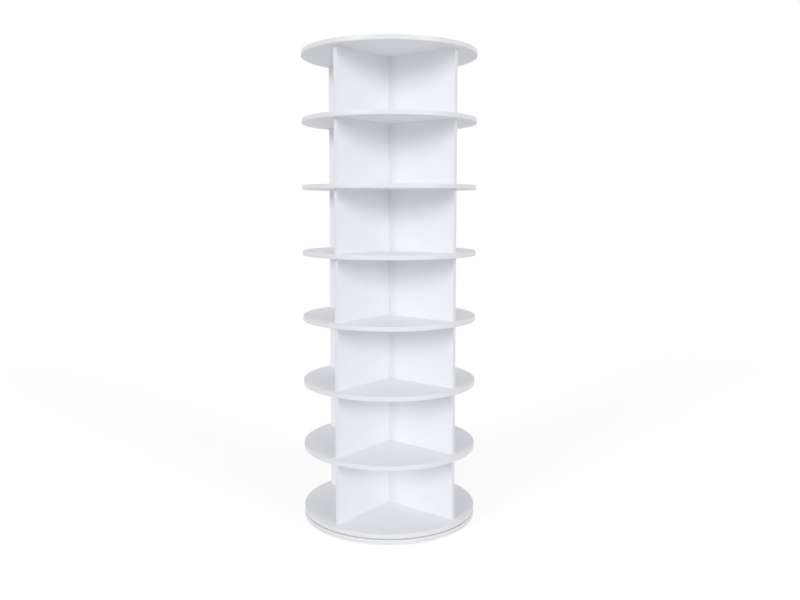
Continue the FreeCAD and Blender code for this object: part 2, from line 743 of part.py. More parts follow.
def make_short_divider(tier, side, angle):
    """A divider from the long one out to one side, turned by an angle about the axis."""
    body = new_body(f"tier_{tier + 1}_{side}_divider", tier_floor(tier))
    outline = new_sketch(body, "XY_Plane", f"{body.Name}_outline")
    add_rectangle(outline, f"-{HALF_DIVIDER}", HALF_DIVIDER, HALF_DIVIDER, PANEL_END)
    pad(body, outline, f"{body.Name}_panel", "Dims.tier_height")
    divider_edge_holes(body, tier,
                       [("0", "Dims.screw_hub_distance"), ("0", OUTER_SCREW)],
                       [("0", "Dims.dowel_hub_distance"), ("0", OUTER_DOWEL)])
    cross_dowel_holes(body, HALF_DIVIDER, CROSS_DOWEL_DEPTH)
    body.Placement.Rotation = FreeCAD.Rotation(FreeCAD.Vector(0, 0, 1), angle)
    doc.recompute()


def make_dividers():
    """The crossed dividers of every tier."""
    for tier in range(int(value("Dims.tier_count"))):
        make_long_divider(tier)
        make_short_divider(tier, "rear", 0)
        make_short_divider(tier, "front", 180)


def make_divider_end_bands():
    """Plastic strips on the outer ends of all dividers."""
    body = new_body("divider_end_bands", tier_floor(0), group=True)
    outline = new_sketch(body, "XY_Plane", "end_band_outline")
    add_rectangle(outline, PANEL_END, ARM, f"-{HALF_DIVIDER}", HALF_DIVIDER)
    strip = pad(body, outline, "end_band", "Dims.tier_height")
    arm_pattern(body, [strip], "end_bands", tiers="Dims.tier_count")


# --------------------------------------------------------------------- fasteners

def hexagon_socket(body, name, mouth, upward):
    """A hexagon socket in a screw head; mouth is the height at which it starts."""
    half = "(Dims.socket_width / 2)"
    corner = "(Dims.socket_width / sqrt(3))"
    shoulder = f"({corner} / 2)"
    outline = new_sketch(body, "XY_Plane", f"{name}_outline",
                         ("Dims.screw_hub_distance", "0", mouth))
    add_outline(outline, [
        (corner, "0"),
        (shoulder, half),
        (f"-{shoulder}", half),
        (f"-{corner}", "0"),
        (f"-{shoulder}", f"-{half}"),
        (shoulder, f"-{half}"),
    ])
    return pocket(body, outline, name, "Dims.socket_depth", upward)


def screw_set(label, height, point, upward, tiers=None):
    """Connector screws on the four arms; point turns a depth in the board into a height."""
    body = new_body(label, height, group=True)
    section = new_sketch(body, "XZ_Plane", f"{label}_section",
                         ("Dims.screw_hub_distance", "0", "0"))
    add_outline(section, screw_profile(point))
    revolve(body, section, f"{label}_shank")
    hexagon_socket(body, f"{label}_socket", point("Dims.screw_head_recess"), upward)
    arm_pattern(body, [], f"{label}_set", tiers=tiers,
                row_length=f"{OUTER_SCREW} - Dims.screw_hub_distance")


def make_shelf_screws():
    """Screws up through the lowest disc, and down through every disc above it."""
    screw_set("lowest_shelf_screws", shelf_bottom(0), up, upward=True)
    screw_set("shelf_screws", tier_floor(1), down, upward=False, tiers="Dims.tier_count")


def make_screw_caps():
    """Plastic caps in the sockets of the screws in the top disc."""
    body = new_body("screw_caps", tier_floor("Dims.tier_count"), group=True)
    radius = "Dims.cap_diameter / 2"
    stem_radius = "Dims.cap_stem_diameter / 2"
    stem_end = down("Dims.screw_head_recess + Dims.cap_stem_length")
    section = new_sketch(body, "XZ_Plane", "cap_section",
                         ("Dims.screw_hub_distance", "0", "0"))
    add_outline(section, [
        ("0", "Dims.cap_height"),
        (f"{radius} - Dims.cap_bevel", "Dims.cap_height"),
        (radius, "Dims.cap_height - Dims.cap_bevel"),
        (radius, "0"),
        (stem_radius, "0"),
        (stem_radius, stem_end),
        ("0", stem_end),
    ])
    cap = revolve(body, section, "cap")
    arm_pattern(body, [cap], "caps", row_length=f"{OUTER_SCREW} - Dims.screw_hub_distance")


def dowel_profile(start, end):
    """Half section of a dowel between two heights, with beveled ends."""
    radius = "Dims.dowel_diameter / 2"
    return [
        ("0", start),
        (f"{radius} - Dims.dowel_bevel", start),
        (radius, f"{start} + Dims.dowel_bevel"),
        (radius, f"{end} - Dims.dowel_bevel"),
        (f"{radius} - Dims.dowel_bevel", end),
        ("0", end),
    ]


def make_shelf_dowels():
    """Dowels that stand in each disc and hold the dividers on it in place."""
    body = new_body("shelf_dowels", tier_floor(0), group=True)
    section = new_sketch(body, "XZ_Plane", "dowel_section",
                         ("Dims.dowel_hub_distance", "0", "0"))
    add_outline(section, dowel_profile("-Dims.dowel_depth",
                                       "(Dims.dowel_length - Dims.dowel_depth)"))
    dowel = revolve(body, section, "dowel")
    arm_pattern(body, [dowel], "dowels", row_length=f"{OUTER_DOWEL} - Dims.dowel_hub_distance",
                tiers="Dims.tier_count")


def make_cross_dowels():
    """Dowels through each long divider into the two short ones."""
    body = new_body("cross_dowels", tier_floor(0), group=True)
    section = new_sketch(body, "YZ_Plane", "cross_dowel_section")
    radius = "Dims.dowel_diameter / 2"
    half = "Dims.cross_dowel_length / 2"
    middle = "Dims.cross_dowel_inset"
    flank = f"{half} - Dims.dowel_bevel"
    add_outline(section, [
        (f"-({half})", middle),
        (half, middle),
        (half, f"{middle} + {radius} - Dims.dowel_bevel"),
        (flank, f"{middle} + {radius}"),
        (f"-({flank})", f"{middle} + {radius}"),
        (f"-({half})", f"{middle} + {radius} - Dims.dowel_bevel"),
    ])
    dowel = body.newObject("PartDesign::Revolution", "cross_dowel")
    dowel.Profile = section
    dowel.ReferenceAxis = (section, ["Edge1"])
    dowel.Angle = FULL_TURN
    pair = "Dims.tier_height - 2 * Dims.cross_dowel_inset"
    pattern = body.newObject("PartDesign::MultiTransform", "cross_dowel_set")
    pattern.Originals = [dowel]
    pattern.Transformations = [
        linear(body, "Z_Axis", pair, "2"),
        linear(body, "Z_Axis", f"(Dims.tier_count - 1) * {PITCH}", "Dims.tier_count"),
    ]
    body.Tip = pattern
    doc.recompute()


# ------------------------------------------------------------ checks and export

def check_document():
    """Stop if any object failed or any piece's shape is empty or not valid."""
    for item in doc.Objects:
        if "Invalid" in item.State or "Error" in item.State:
            raise RuntimeError(f"{item.Label} failed: {item.State}")
    for body in bodies:
        shape = body.Shape
        if shape.isNull() or not shape.isValid() or not shape.Solids:
            raise RuntimeError(f"{body.Label} has no valid shape")


def export_pieces():
    """Write each piece to a STEP file named after it."""
    os.makedirs("parts", exist_ok=True)
    for body in bodies:
        body.Shape.exportStep(f"parts/{body.Label}.step")
        box = body.Shape.BoundBox
        print(f"{body.Label:28s} {len(body.Shape.Solids):3d} solids "
              f"z {box.ZMin:8.2f} .. {box.ZMax:8.2f}")


make_base_disc()
make_glides()
make_lower_plate()
make_upper_plate()
make_turntable_screws()
make_balls()
make_cage()
make_shelves()
make_dividers()
make_divider_end_bands()
make_shelf_screws()
make_screw_caps()
make_shelf_dowels()
make_cross_dowels()
doc.recompute()
check_document()
export_pieces()
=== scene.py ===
import logging
import math
from collections.abc import Mapping, Sequence
from dataclasses import dataclass
from enum import Enum
from functools import partialmethod
from typing import Any, ClassVar

import bpy
import numpy as np
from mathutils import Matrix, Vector


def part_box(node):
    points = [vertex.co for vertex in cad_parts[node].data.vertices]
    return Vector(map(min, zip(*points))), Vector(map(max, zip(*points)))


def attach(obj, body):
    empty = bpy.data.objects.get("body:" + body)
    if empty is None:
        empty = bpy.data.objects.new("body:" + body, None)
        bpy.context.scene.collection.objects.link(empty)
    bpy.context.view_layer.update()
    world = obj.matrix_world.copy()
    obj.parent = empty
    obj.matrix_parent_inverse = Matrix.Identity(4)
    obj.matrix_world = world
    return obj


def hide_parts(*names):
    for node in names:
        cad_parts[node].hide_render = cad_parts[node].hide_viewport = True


# Rotating shoe tower: the looks of every piece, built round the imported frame.
# Lengths are in metres and angles in degrees, unless a name says otherwise.

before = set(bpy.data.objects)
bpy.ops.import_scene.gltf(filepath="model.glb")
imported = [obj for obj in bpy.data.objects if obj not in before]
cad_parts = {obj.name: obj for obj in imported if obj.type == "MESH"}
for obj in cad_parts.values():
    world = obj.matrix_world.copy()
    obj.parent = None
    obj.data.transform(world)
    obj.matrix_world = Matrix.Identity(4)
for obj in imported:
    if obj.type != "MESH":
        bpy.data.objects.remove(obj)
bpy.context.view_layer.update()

log = logging.getLogger("shoe_tower")

Pair = tuple[float, float]
Colour = tuple[float, float, float]
Stops = tuple[tuple[float, Colour], ...]
FULL_TURN = 360.0
ARMS = np.radians([0.0, 90.0, 180.0, 270.0])
SEED = 41


class Axis(Enum):
    """An axis of the frame, by its place in a point."""

    X = 0
    Y = 1
    Z = 2


class BandRun(Enum):
    """Which way an edge band runs: round a disc, or up the end of a divider."""

    ROUND = "round"
    UPRIGHT = "upright"


# ---- surfaces

@dataclass(frozen=True)
class Shell:
    """A closed surface as whole arrays: its points, its quads and its triangles."""

    points: np.ndarray
    quads: np.ndarray
    triangles: np.ndarray

    @classmethod
    def carried(cls, rings: np.ndarray, looped: bool = False,
                tips: Pair | None = None) -> "Shell":
        """Join rings of points, one after the other, into a closed surface.

        Face (v, u) has the corners (v, u), (v, u + 1), (v + 1, u + 1) and (v + 1, u),
        and u closes on itself.

        Args:
            rings: points[v, u], as an array of rings by points per ring by 3.
            looped: whether the last ring joins the first; otherwise a fan of
                triangles closes each end.
            tips: heights on the Z axis of the fans' middles; the means of the end
                rings if None.

        Returns:
            The surface, with its faces outwards.
        """
        points = rings.reshape(-1, 3)
        corner = np.arange(len(points)).reshape(rings.shape[:2])
        beside = np.roll(corner, -1, axis=1)
        stop = None if looped else -1
        quads = np.stack([rows[:stop] for rows in (
            corner, beside, np.roll(beside, -1, axis=0), np.roll(corner, -1, axis=0))], axis=-1)
        triangles = np.empty((0, 3), int)
        if not looped:
            first_tip = len(points)
            fans = ((beside[0], corner[0], first_tip), (corner[-1], beside[-1], first_tip + 1))
            triangles = np.concatenate([
                np.stack(np.broadcast_arrays(*fan), axis=-1) for fan in fans])
            ends = rings[[0, -1]].mean(axis=1) if tips is None else [(0, 0, z) for z in tips]
            points = np.concatenate([points, ends])
        return cls(points, quads.reshape(-1, 4), triangles).outward()

    def outward(self) -> "Shell":
        """Turn all faces round if they point inwards.

        The volume is a sixth of the sum of a . (b x c) over all triangles a, b, c;
        it is below zero where the faces point inwards.

        Returns:
            The surface, with its faces outwards.
        """
        corners = np.concatenate([self.triangles, self.quads[:, [0, 1, 2]],
                                  self.quads[:, [0, 2, 3]]])
        centred = self.points - self.points.mean(axis=0)
        a, b, c = (centred[corners[:, k]] for k in range(3))
        if np.einsum("ij,ij->", a, np.cross(b, c)) < 0:
            return Shell(self.points, self.quads[:, ::-1], self.triangles[:, ::-1])
        return self

    def repeated(self, places: np.ndarray) -> "Shell":
        """Copy this surface: point' = matrix . point.

        Args:
            places: a 4 by 4 matrix for each copy.

        Returns:
            All copies as one surface.
        """
        turned = np.einsum("nij,pj->npi", places[:, :3, :3], self.points)
        moved = turned + places[:, None, :3, 3]
        starts = (np.arange(len(places)) * len(self.points))[:, None, None]
        return Shell(moved.reshape(-1, 3), (self.quads + starts).reshape(-1, 4),
                     (self.triangles + starts).reshape(-1, 3))

    def welded(self, apart: float = 1e-7) -> "Shell":
        """Make one point of points that lie close together.

        Args:
            apart: how far apart points at least have to be.

        Returns:
            The surface without its double points.
        """
        cell = np.round(self.points / apart).astype(np.int64)
        _, first, same = np.unique(cell, axis=0, return_index=True, return_inverse=True)
        same = same.ravel()
        return Shell(self.points[first], same[self.quads], same[self.triangles])

    def piece(self, name: str, smooth_below: float = 35.0) -> bpy.types.Object:
        """Make an object of this surface, at the origin.

        Args:
            name: the piece's name.
            smooth_below: faces that meet at less than this angle shade as one.

        Returns:
            The new object, linked to the scene.
        """
        corners = np.concatenate([self.triangles.ravel(), self.quads.ravel()])
        three, four = len(self.triangles), len(self.quads)
        starts = np.concatenate([np.arange(three) * 3, three * 3 + np.arange(four) * 4])
        mesh = bpy.data.meshes.new(name)
        mesh.vertices.add(len(self.points))
        mesh.vertices.foreach_set("co", self.points.astype(np.float32).ravel())
        mesh.loops.add(len(corners))
        mesh.loops.foreach_set("vertex_index", corners.astype(np.int32))
        mesh.polygons.add(len(starts))
        mesh.polygons.foreach_set("loop_start", starts.astype(np.int32))
        mesh.update(calc_edges=True)
        mesh.shade_smooth()
        mesh.set_sharp_from_angle(angle=math.radians(smooth_below))
        return new_object(name, mesh)


def wrapped(radius: np.ndarray | float, turn: np.ndarray,
            height: np.ndarray | float) -> np.ndarray:
    """Points (r cos a, r sin a, z), for arrays that stretch to one shape."""
    return np.stack(np.broadcast_arrays(
        radius * np.cos(turn), radius * np.sin(turn), height), axis=-1)


def around(count: int) -> np.ndarray:
    """Angles in radians of a number of points spread evenly over a full turn."""
    return np.arange(count) * 2 * np.pi / count


def revolved(profile: np.ndarray, count: int, looped: bool = False,
             tips: Pair | None = None) -> Shell:
    """Turn a profile round the Z axis: point = (r cos a, r sin a, z).

    Args:
        profile: rows of radius and height, from one end to the other.
        count: points in a full turn.
        looped: whether the profile closes on itself, as in a ring.
        tips: heights on the axis at which the two ends close.

    Returns:
        The surface, with its faces outwards.
    """
    rings = wrapped(profile[:, :1], around(count), profile[:, 1:])
    return Shell.carried(rings, looped, tips)


def arc(centre: Pair, radius: float, start: float, end: float,
        count: int = 6) -> np.ndarray:
    """Points of an arc: centre + radius (cos a, sin a), a from start to end."""
    angle = np.radians(np.linspace(start, end, count))
    return np.array(centre) + radius * np.stack([np.cos(angle), np.sin(angle)], axis=-1)


def placed(turns: np.ndarray, shifts: np.ndarray) -> np.ndarray:
    """Make 4 by 4 matrices that turn by a 3 by 3 matrix and then shift.

    Args:
        turns: the 3 by 3 matrices, or one for all.
        shifts: how far each copy is shifted.

    Returns:
        One matrix for every shift.
    """
    places = np.tile(np.eye(4), (len(shifts), 1, 1))
    places[:, :3, :3] = turns
    places[:, :3, 3] = shifts
    return places


def spun(angles: np.ndarray, distances: Sequence[float] = (0.0,),
         heights: Sequence[float] = (0.0,), upside_down: bool = False) -> np.ndarray:
    """Places round the Z axis: a shift (d, 0, h), then a turn about Z.

    Args:
        angles: the angles in radians.
        distances: how far out from the axis.
        heights: at which heights.
        upside_down: whether the copies are turned over, half a turn about X.

    Returns:
        One 4 by 4 matrix for every angle, distance and height.
    """
    angle, out, up = (part.ravel() for part in np.meshgrid(
        angles, distances, heights, indexing="ij"))
    flip = -1.0 if upside_down else 1.0
    turns = np.zeros((len(angle), 3, 3))
    turns[:, :2, 0] = np.stack([np.cos(angle), np.sin(angle)], axis=-1)
    turns[:, :2, 1] = flip * np.stack([-np.sin(angle), np.cos(angle)], axis=-1)
    turns[:, 2, 2] = flip
    return placed(turns, wrapped(out, angle, up))


def levels(node: str) -> Pair:
    """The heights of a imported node's foot and top."""
    low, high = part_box(node)
    return low.z, high.z


def new_object(name: str, data: bpy.types.ID) -> bpy.types.Object:
    """Make an object at the origin and link it to the scene.

    Args:
        name: its name.
        data: its mesh, lamp or lens.

    Returns:
        The object.
    """
    made = bpy.data.objects.new(name, data)
    bpy.context.scene.collection.objects.link(made)
    return made


def direction(azimuth: float, elevation: float) -> Vector:
    """The direction (sin a cos e, -cos a cos e, sin e)."""
    a, e = math.radians(azimuth), math.radians(elevation)
    return Vector((math.sin(a) * math.cos(e), -math.cos(a) * math.cos(e), math.sin(e)))


# ---- shader graphs

@dataclass(frozen=True)
class Wire:
    """A value in a shader, with the signs of arithmetic: each adds a Math node.

    The socket is where the value comes out. A comparison gives 1 where it holds,
    else 0; part is what is left over a whole number, and sine takes radians.
    """

    graph: "ShaderGraph"
    socket: bpy.types.NodeSocket | None

    def math(self, operation: str, *others: "Wire | float") -> "Wire":
        """A Math node on this value and the others, in that order."""
        return self.graph.calculate(operation, self, *others)

    __add__ = __radd__ = partialmethod(math, "ADD")
    __sub__ = partialmethod(math, "SUBTRACT")
    __mul__ = __rmul__ = partialmethod(math, "MULTIPLY")
    __truediv__ = partialmethod(math, "DIVIDE")
    __abs__ = partialmethod(math, "ABSOLUTE")
    __gt__ = partialmethod(math, "GREATER_THAN")
    __lt__ = partialmethod(math, "LESS_THAN")
    larger = partialmethod(math, "MAXIMUM")
    part = partialmethod(math, "FRACT")
    root = partialmethod(math, "SQRT")
    sine = partialmethod(math, "SINE")

    def __rsub__(self, other: float) -> "Wire":
        """A number less this value."""
        return self.graph.calculate("SUBTRACT", other, self)

    def rising(self, low: float, high: float) -> "Wire":
        """0 below low and 1 above high, with a smooth rise between."""
        return self.graph.node(
            "ShaderNodeMapRange", {"interpolation_type": "SMOOTHSTEP"},
            {"Value": self, "From Min": low, "From Max": high})


@dataclass(frozen=True)
class Noise:
    """Soft noise: features to the metre, detail, roughness and scale along each axis."""

    scale: float
    detail: float = 2.0
    roughness: float = 0.5
    stretch: tuple[float, ...] | None = None


class ShaderGraph:
    """A node tree, and the one way in which nodes are added to it."""

    COLOUR_MIX: ClassVar[dict[str, int]] = {"factor": 0, "first": 6, "second": 7, "out": 2}

    def __init__(self, holder: bpy.types.Material | bpy.types.World) -> None:
        """Start with an empty tree.

        Args:
            holder: the material or world that the tree shades.
        """
        holder.use_nodes = True
        self.tree = holder.node_tree
        self.tree.nodes.clear()

    def node(self, kind: str, settings: Mapping[str, Any] | None = None,
             inputs: Mapping[str | int, Any] | None = None,
             output: str | int = 0) -> Wire:
        """Add a node.

        Args:
            kind: the node's type.
            settings: its settings, set before its sockets.
            inputs: values or wires for its input sockets.
            output: the output socket that is wanted.

        Returns:
            That output.
        """
        made = self.tree.nodes.new(kind)
        for name, setting in (settings or {}).items():
            setattr(made, name, setting)
        for name, value in (inputs or {}).items():
            if isinstance(value, Wire):
                self.tree.links.new(value.socket, made.inputs[name])
            else:
                made.inputs[name].default_value = value
        return Wire(self, made.outputs[output] if made.outputs else None)

    def calculate(self, operation: str, *values: Wire | float) -> Wire:
        """Add a Math node with these values."""
        return self.node("ShaderNodeMath", {"operation": operation}, dict(enumerate(values)))

    def place(self) -> Wire:
        """The point on the piece, in its own coordinates."""
        return self.node("ShaderNodeTexCoord", output="Object")

    def axes(self, vector: Wire) -> tuple[Wire, ...]:
        """The three parts of a vector."""
        split = self.node("ShaderNodeSeparateXYZ", inputs={"Vector": vector})
        return tuple(Wire(self, output) for output in split.socket.node.outputs)

    def vector(self, x: Wire | float, y: Wire | float, z: Wire | float) -> Wire:
        """A vector of three values."""
        return self.node("ShaderNodeCombineXYZ", inputs={"X": x, "Y": y, "Z": z})

    def stretched(self, vector: Wire, scale: Sequence[float]) -> Wire:
        """A vector times a scale along each axis."""
        return self.node("ShaderNodeVectorMath", {"operation": "MULTIPLY"},
                         {0: vector, 1: tuple(scale)})

    def noise(self, vector: Wire, pattern: Noise) -> Wire:
        """Soft noise between 0 and 1."""
        if pattern.stretch is not None:
            vector = self.stretched(vector, pattern.stretch)
        return self.node("ShaderNodeTexNoise", inputs={
            "Vector": vector, "Scale": pattern.scale, "Detail": pattern.detail,
            "Roughness": pattern.roughness})

    def cells(self, vector: Wire, scale: float, output: str = "Distance") -> Wire:
        """Cells, scale of them to the metre: the distance to a middle, or a colour."""
        return self.node("ShaderNodeTexVoronoi", inputs={"Vector": vector, "Scale": scale},
                         output=output)

    def mixed(self, factor: Wire | float, first: Wire | Colour,
              second: Wire | Colour) -> Wire:
        """Mix two colours.

        Args:
            factor: 0 for the first colour, 1 for the second.
            first: the first colour.
            second: the second colour.

        Returns:
            The mixed colour.
        """
        slots = self.COLOUR_MIX
        colours = [c if isinstance(c, Wire) else (*c, 1.0) for c in (first, second)]
        return self.node("ShaderNodeMix", {"data_type": "RGBA"}, {
            slots["factor"]: factor, slots["first"]: colours[0],
            slots["second"]: colours[1]}, output=slots["out"])

    def ramp(self, factor: Wire, stops: Stops) -> Wire:
        """Look up a colour on a ramp.

        Args:
            factor: the position on the ramp.
            stops: its stops, each a position and a colour.

        Returns:
            The colour at the position.
        """
        made = self.node("ShaderNodeValToRGB", inputs={"Fac": factor}, output="Color")
        elements = made.socket.node.color_ramp.elements
        for _ in range(len(stops) - len(elements)):
            elements.new(1.0)
        for element, (position, colour) in zip(elements, stops):
            element.position = position
            element.color = (*colour, 1.0)
        return made

    def bump(self, height: Wire, depth: float, below: Wire | None = None) -> Wire:
        """A normal tilted by a height pattern of this depth, on top of another one."""
        under = {} if below is None else {"Normal": below}
        return self.node("ShaderNodeBump", inputs={"Height": height, "Distance": depth, **under})

    def shade(self, colour: Wire, roughness: Wire, normal: Wire,
              plain: Mapping[str, Any]) -> None:
        """Finish with a Principled shader.

        Args:
            colour: the base colour.
            roughness: how dull the surface is.
            normal: the normal, tilted by bumps.
            plain: values for the sockets that are the same all over.
        """
        shader = self.node("ShaderNodeBsdfPrincipled", inputs={
            "Base Color": colour, "Roughness": roughness, "Normal": normal, **plain})
        self.node("ShaderNodeOutputMaterial", inputs={"Surface": shader})


# ---- finishes

def darker(colour: Colour, share: float) -> Colour:
    """A colour with this share of its light."""
    red, green, blue = colour
    return share * red, share * green, share * blue


@dataclass(frozen=True)
class Finish:
    """A finish of the tower, and the name of the record's material slot that it belongs to."""

    name: str
    slot: str

    def dress(self, graph: ShaderGraph) -> None:
        """Build the finish's shader in the graph."""
        raise NotImplementedError

    def material(self) -> bpy.types.Material:
        """Make the finish's material the first time that it is asked for.

        Returns:
            The material.
        """
        made = bpy.data.materials.get(self.name)
        if made is None:
            made = bpy.data.materials.new(self.name)
            self.dress(ShaderGraph(made))
        return made


@dataclass(frozen=True)
class MelamineBoard(Finish):
    """White melamine paper with a fine pearl grain, on chipboard that holes lay bare.

    Boards of one kind lie a period apart along the face axis, from first_face on.
    """

    face_axis: Axis = Axis.Z
    first_face: float = 0.0
    period: float = 1.0
    thickness: float = 0.015
    paper: float = 0.00018
    white: Colour = (0.855, 0.861, 0.888)
    shade_white: Colour = (0.842, 0.849, 0.879)
    cloud: Noise = Noise(5.0, 3.0)
    cloud_edges: Pair = (0.35, 0.65)
    pearl: Noise = Noise(700.0, 1.5)
    pearl_depth: float = 0.0002
    chips_per_metre: float = 420.0
    chip_depth: float = 0.0004
    chip_tones: Stops = (
        (0.0, (0.24, 0.15, 0.08)), (0.5, (0.46, 0.33, 0.20)), (1.0, (0.66, 0.52, 0.34)))
    roughness: float = 0.40
    pearl_dulls: float = 0.10
    cloud_dulls: float = 0.04
    core_dulls: float = 0.35

    def dress(self, graph: ShaderGraph) -> None:
        """Paper on the two faces, chipboard between them.

        Args:
            graph: where the nodes go.
        """
        place = graph.place()
        across = graph.axes(place)[self.face_axis.value]
        depth = ((across - self.first_face) / self.period).part() * self.period
        core = (depth > self.paper) * (depth < self.thickness - self.paper)

        cloud = graph.noise(place, self.cloud)
        pearl = graph.noise(place, self.pearl)
        paper = graph.mixed(cloud.rising(*self.cloud_edges), self.white, self.shade_white)
        chip = graph.node("ShaderNodeSeparateColor", inputs={
            "Color": graph.cells(place, self.chips_per_metre, "Color")})
        chip_height = graph.cells(place, self.chips_per_metre) * core
        graph.shade(
            graph.mixed(core, paper, graph.ramp(chip, self.chip_tones)),
            self.roughness + pearl * self.pearl_dulls + cloud * self.cloud_dulls
            + core * self.core_dulls,
            graph.bump(chip_height, self.chip_depth, graph.bump(pearl, self.pearl_depth)),
            {"IOR": 1.47, "Specular IOR Level": 0.45})


@dataclass(frozen=True)
class EdgeBandPlastic(Finish):
    """Satin white edge band: fine lines along the strip and a thin line of glue."""

    run: BandRun = BandRun.ROUND
    rim: float = 0.300
    white: Colour = (0.757, 0.763, 0.789)
    band: float = 0.001
    glue_width: float = 0.00012
    glue_tone: Colour = (0.50, 0.49, 0.47)
    cloud: Noise = Noise(9.0)
    cloud_share: float = 0.985
    lines: Noise = Noise(1.0, 1.0)
    lines_along: float = 14.0
    lines_across: float = 2600.0
    line_depth: float = 0.00004
    ripple_length: float = 0.0018
    ripple_share: float = 0.05
    roughness: float = 0.33
    lines_dull: float = 0.10
    cloud_dulls: float = 0.03

    def dress(self, graph: ShaderGraph) -> None:
        """Lines run along the strip, ripples across it, glue along its inner edge.

        Args:
            graph: where the nodes go.
        """
        x, y, z = graph.axes(graph.place())
        if self.run is BandRun.ROUND:
            out = (x * x + y * y).root()
            along = y.math("ARCTAN2", x) * self.rim
            over = z
        else:
            out = abs(x).larger(abs(y))
            along = z
            over = x + y
        lines = graph.noise(
            graph.vector(along * self.lines_along, 0.0, over * self.lines_across), self.lines)
        ripple = (along * (2 * math.pi / self.ripple_length)).sine()
        cloud = graph.noise(graph.vector(along, over, 0.0), self.cloud)
        glue = out < self.rim - self.band + self.glue_width
        white = graph.mixed(cloud, self.white, darker(self.white, self.cloud_share))
        graph.shade(
            graph.mixed(glue, white, self.glue_tone),
            self.roughness + lines * self.lines_dull + cloud * self.cloud_dulls,
            graph.bump(lines + ripple * self.ripple_share, self.line_depth),
            {"IOR": 1.49})


@dataclass(frozen=True)
class MouldedPlastic(Finish):
    """Injection-moulded plastic: a faint orange peel and fine spark-eroded grain."""

    colour: Colour = (0.83, 0.835, 0.855)
    roughness: float = 0.33
    grain_depth: float = 0.00005
    translucent: float = 0.0
    grain: Noise = Noise(1600.0)
    grain_dulls: float = 0.08
    flow: Noise = Noise(90.0)
    flow_dulls: float = 0.04
    flow_share: float = 0.94
    light_reach: Colour = (0.002, 0.002, 0.0018)

    def dress(self, graph: ShaderGraph) -> None:
        """Grain over slow flow marks.

        Args:
            graph: where the nodes go.
        """
        place = graph.place()
        grain = graph.noise(place, self.grain)
        flow = graph.noise(place, self.flow)
        graph.shade(
            graph.mixed(flow, self.colour, darker(self.colour, self.flow_share)),
            self.roughness + grain * self.grain_dulls + flow * self.flow_dulls,
            graph.bump(grain + flow, self.grain_depth),
            {"IOR": 1.5, "Subsurface Weight": self.translucent,
             "Subsurface Radius": self.light_reach, "Subsurface Scale": 1.0})


@dataclass(frozen=True)
class ZincSheet(Finish):
    """Pressed, zinc-plated sheet: rolling lines, mottled plating, a polished race."""

    colour: Colour = (0.62, 0.64, 0.67)
    warm: Colour = (0.66, 0.66, 0.64)
    dark_share: float = 0.86
    race_radius: float = 0.120
    track_width: float = 0.0021
    track_core: float = 0.4
    rolled: Noise = Noise(1.0, 2.0, stretch=(18.0, 1500.0, 1500.0))
    rolled_depth: float = 0.00001
    mottle: Noise = Noise(160.0, 3.0)
    mottle_stops: tuple[float, float, float] = (0.3, 0.55, 0.75)
    roughness: float = 0.30
    rolled_dulls: float = 0.10
    mottle_dulls: float = 0.08
    track_shines: float = 0.24

    def dress(self, graph: ShaderGraph) -> None:
        """Rolling lines along X, plating mottle, and the track that the balls wear.

        Args:
            graph: where the nodes go.
        """
        place = graph.place()
        x, y, _ = graph.axes(place)
        rolled = graph.noise(place, self.rolled)
        mottle = graph.noise(place, self.mottle)
        off_race = abs((x * x + y * y).root() - self.race_radius)
        track = 1 - off_race.rising(self.track_width * self.track_core, self.track_width)
        tones = (darker(self.colour, self.dark_share), self.colour, self.warm)
        graph.shade(
            graph.ramp(mottle, tuple(zip(self.mottle_stops, tones))),
            self.roughness + rolled * self.rolled_dulls + mottle * self.mottle_dulls
            - track * self.track_shines,
            graph.bump(rolled * (1 - track), self.rolled_depth),
            {"Metallic": 1.0})


@dataclass(frozen=True)
class BareSteel(Finish):
    """Bright steel: clouds of a second tint and fine marks."""

    colour: Colour
    cloud_colour: Colour
    cloud: Noise
    marks: Noise
    mark_depth: float
    roughness: float
    cloud_dulls: float
    marks_dull: float = 0.0

    def dress(self, graph: ShaderGraph) -> None:
        """Clouds tint and dull the steel, marks score it.

        Args:
            graph: where the nodes go.
        """
        place = graph.place()
        cloud = graph.noise(place, self.cloud)
        marks = graph.noise(place, self.marks)
        graph.shade(
            graph.mixed(cloud, self.colour, self.cloud_colour),
            self.roughness + cloud * self.cloud_dulls + marks * self.marks_dull,
            graph.bump(marks, self.mark_depth),
            {"Metallic": 1.0})


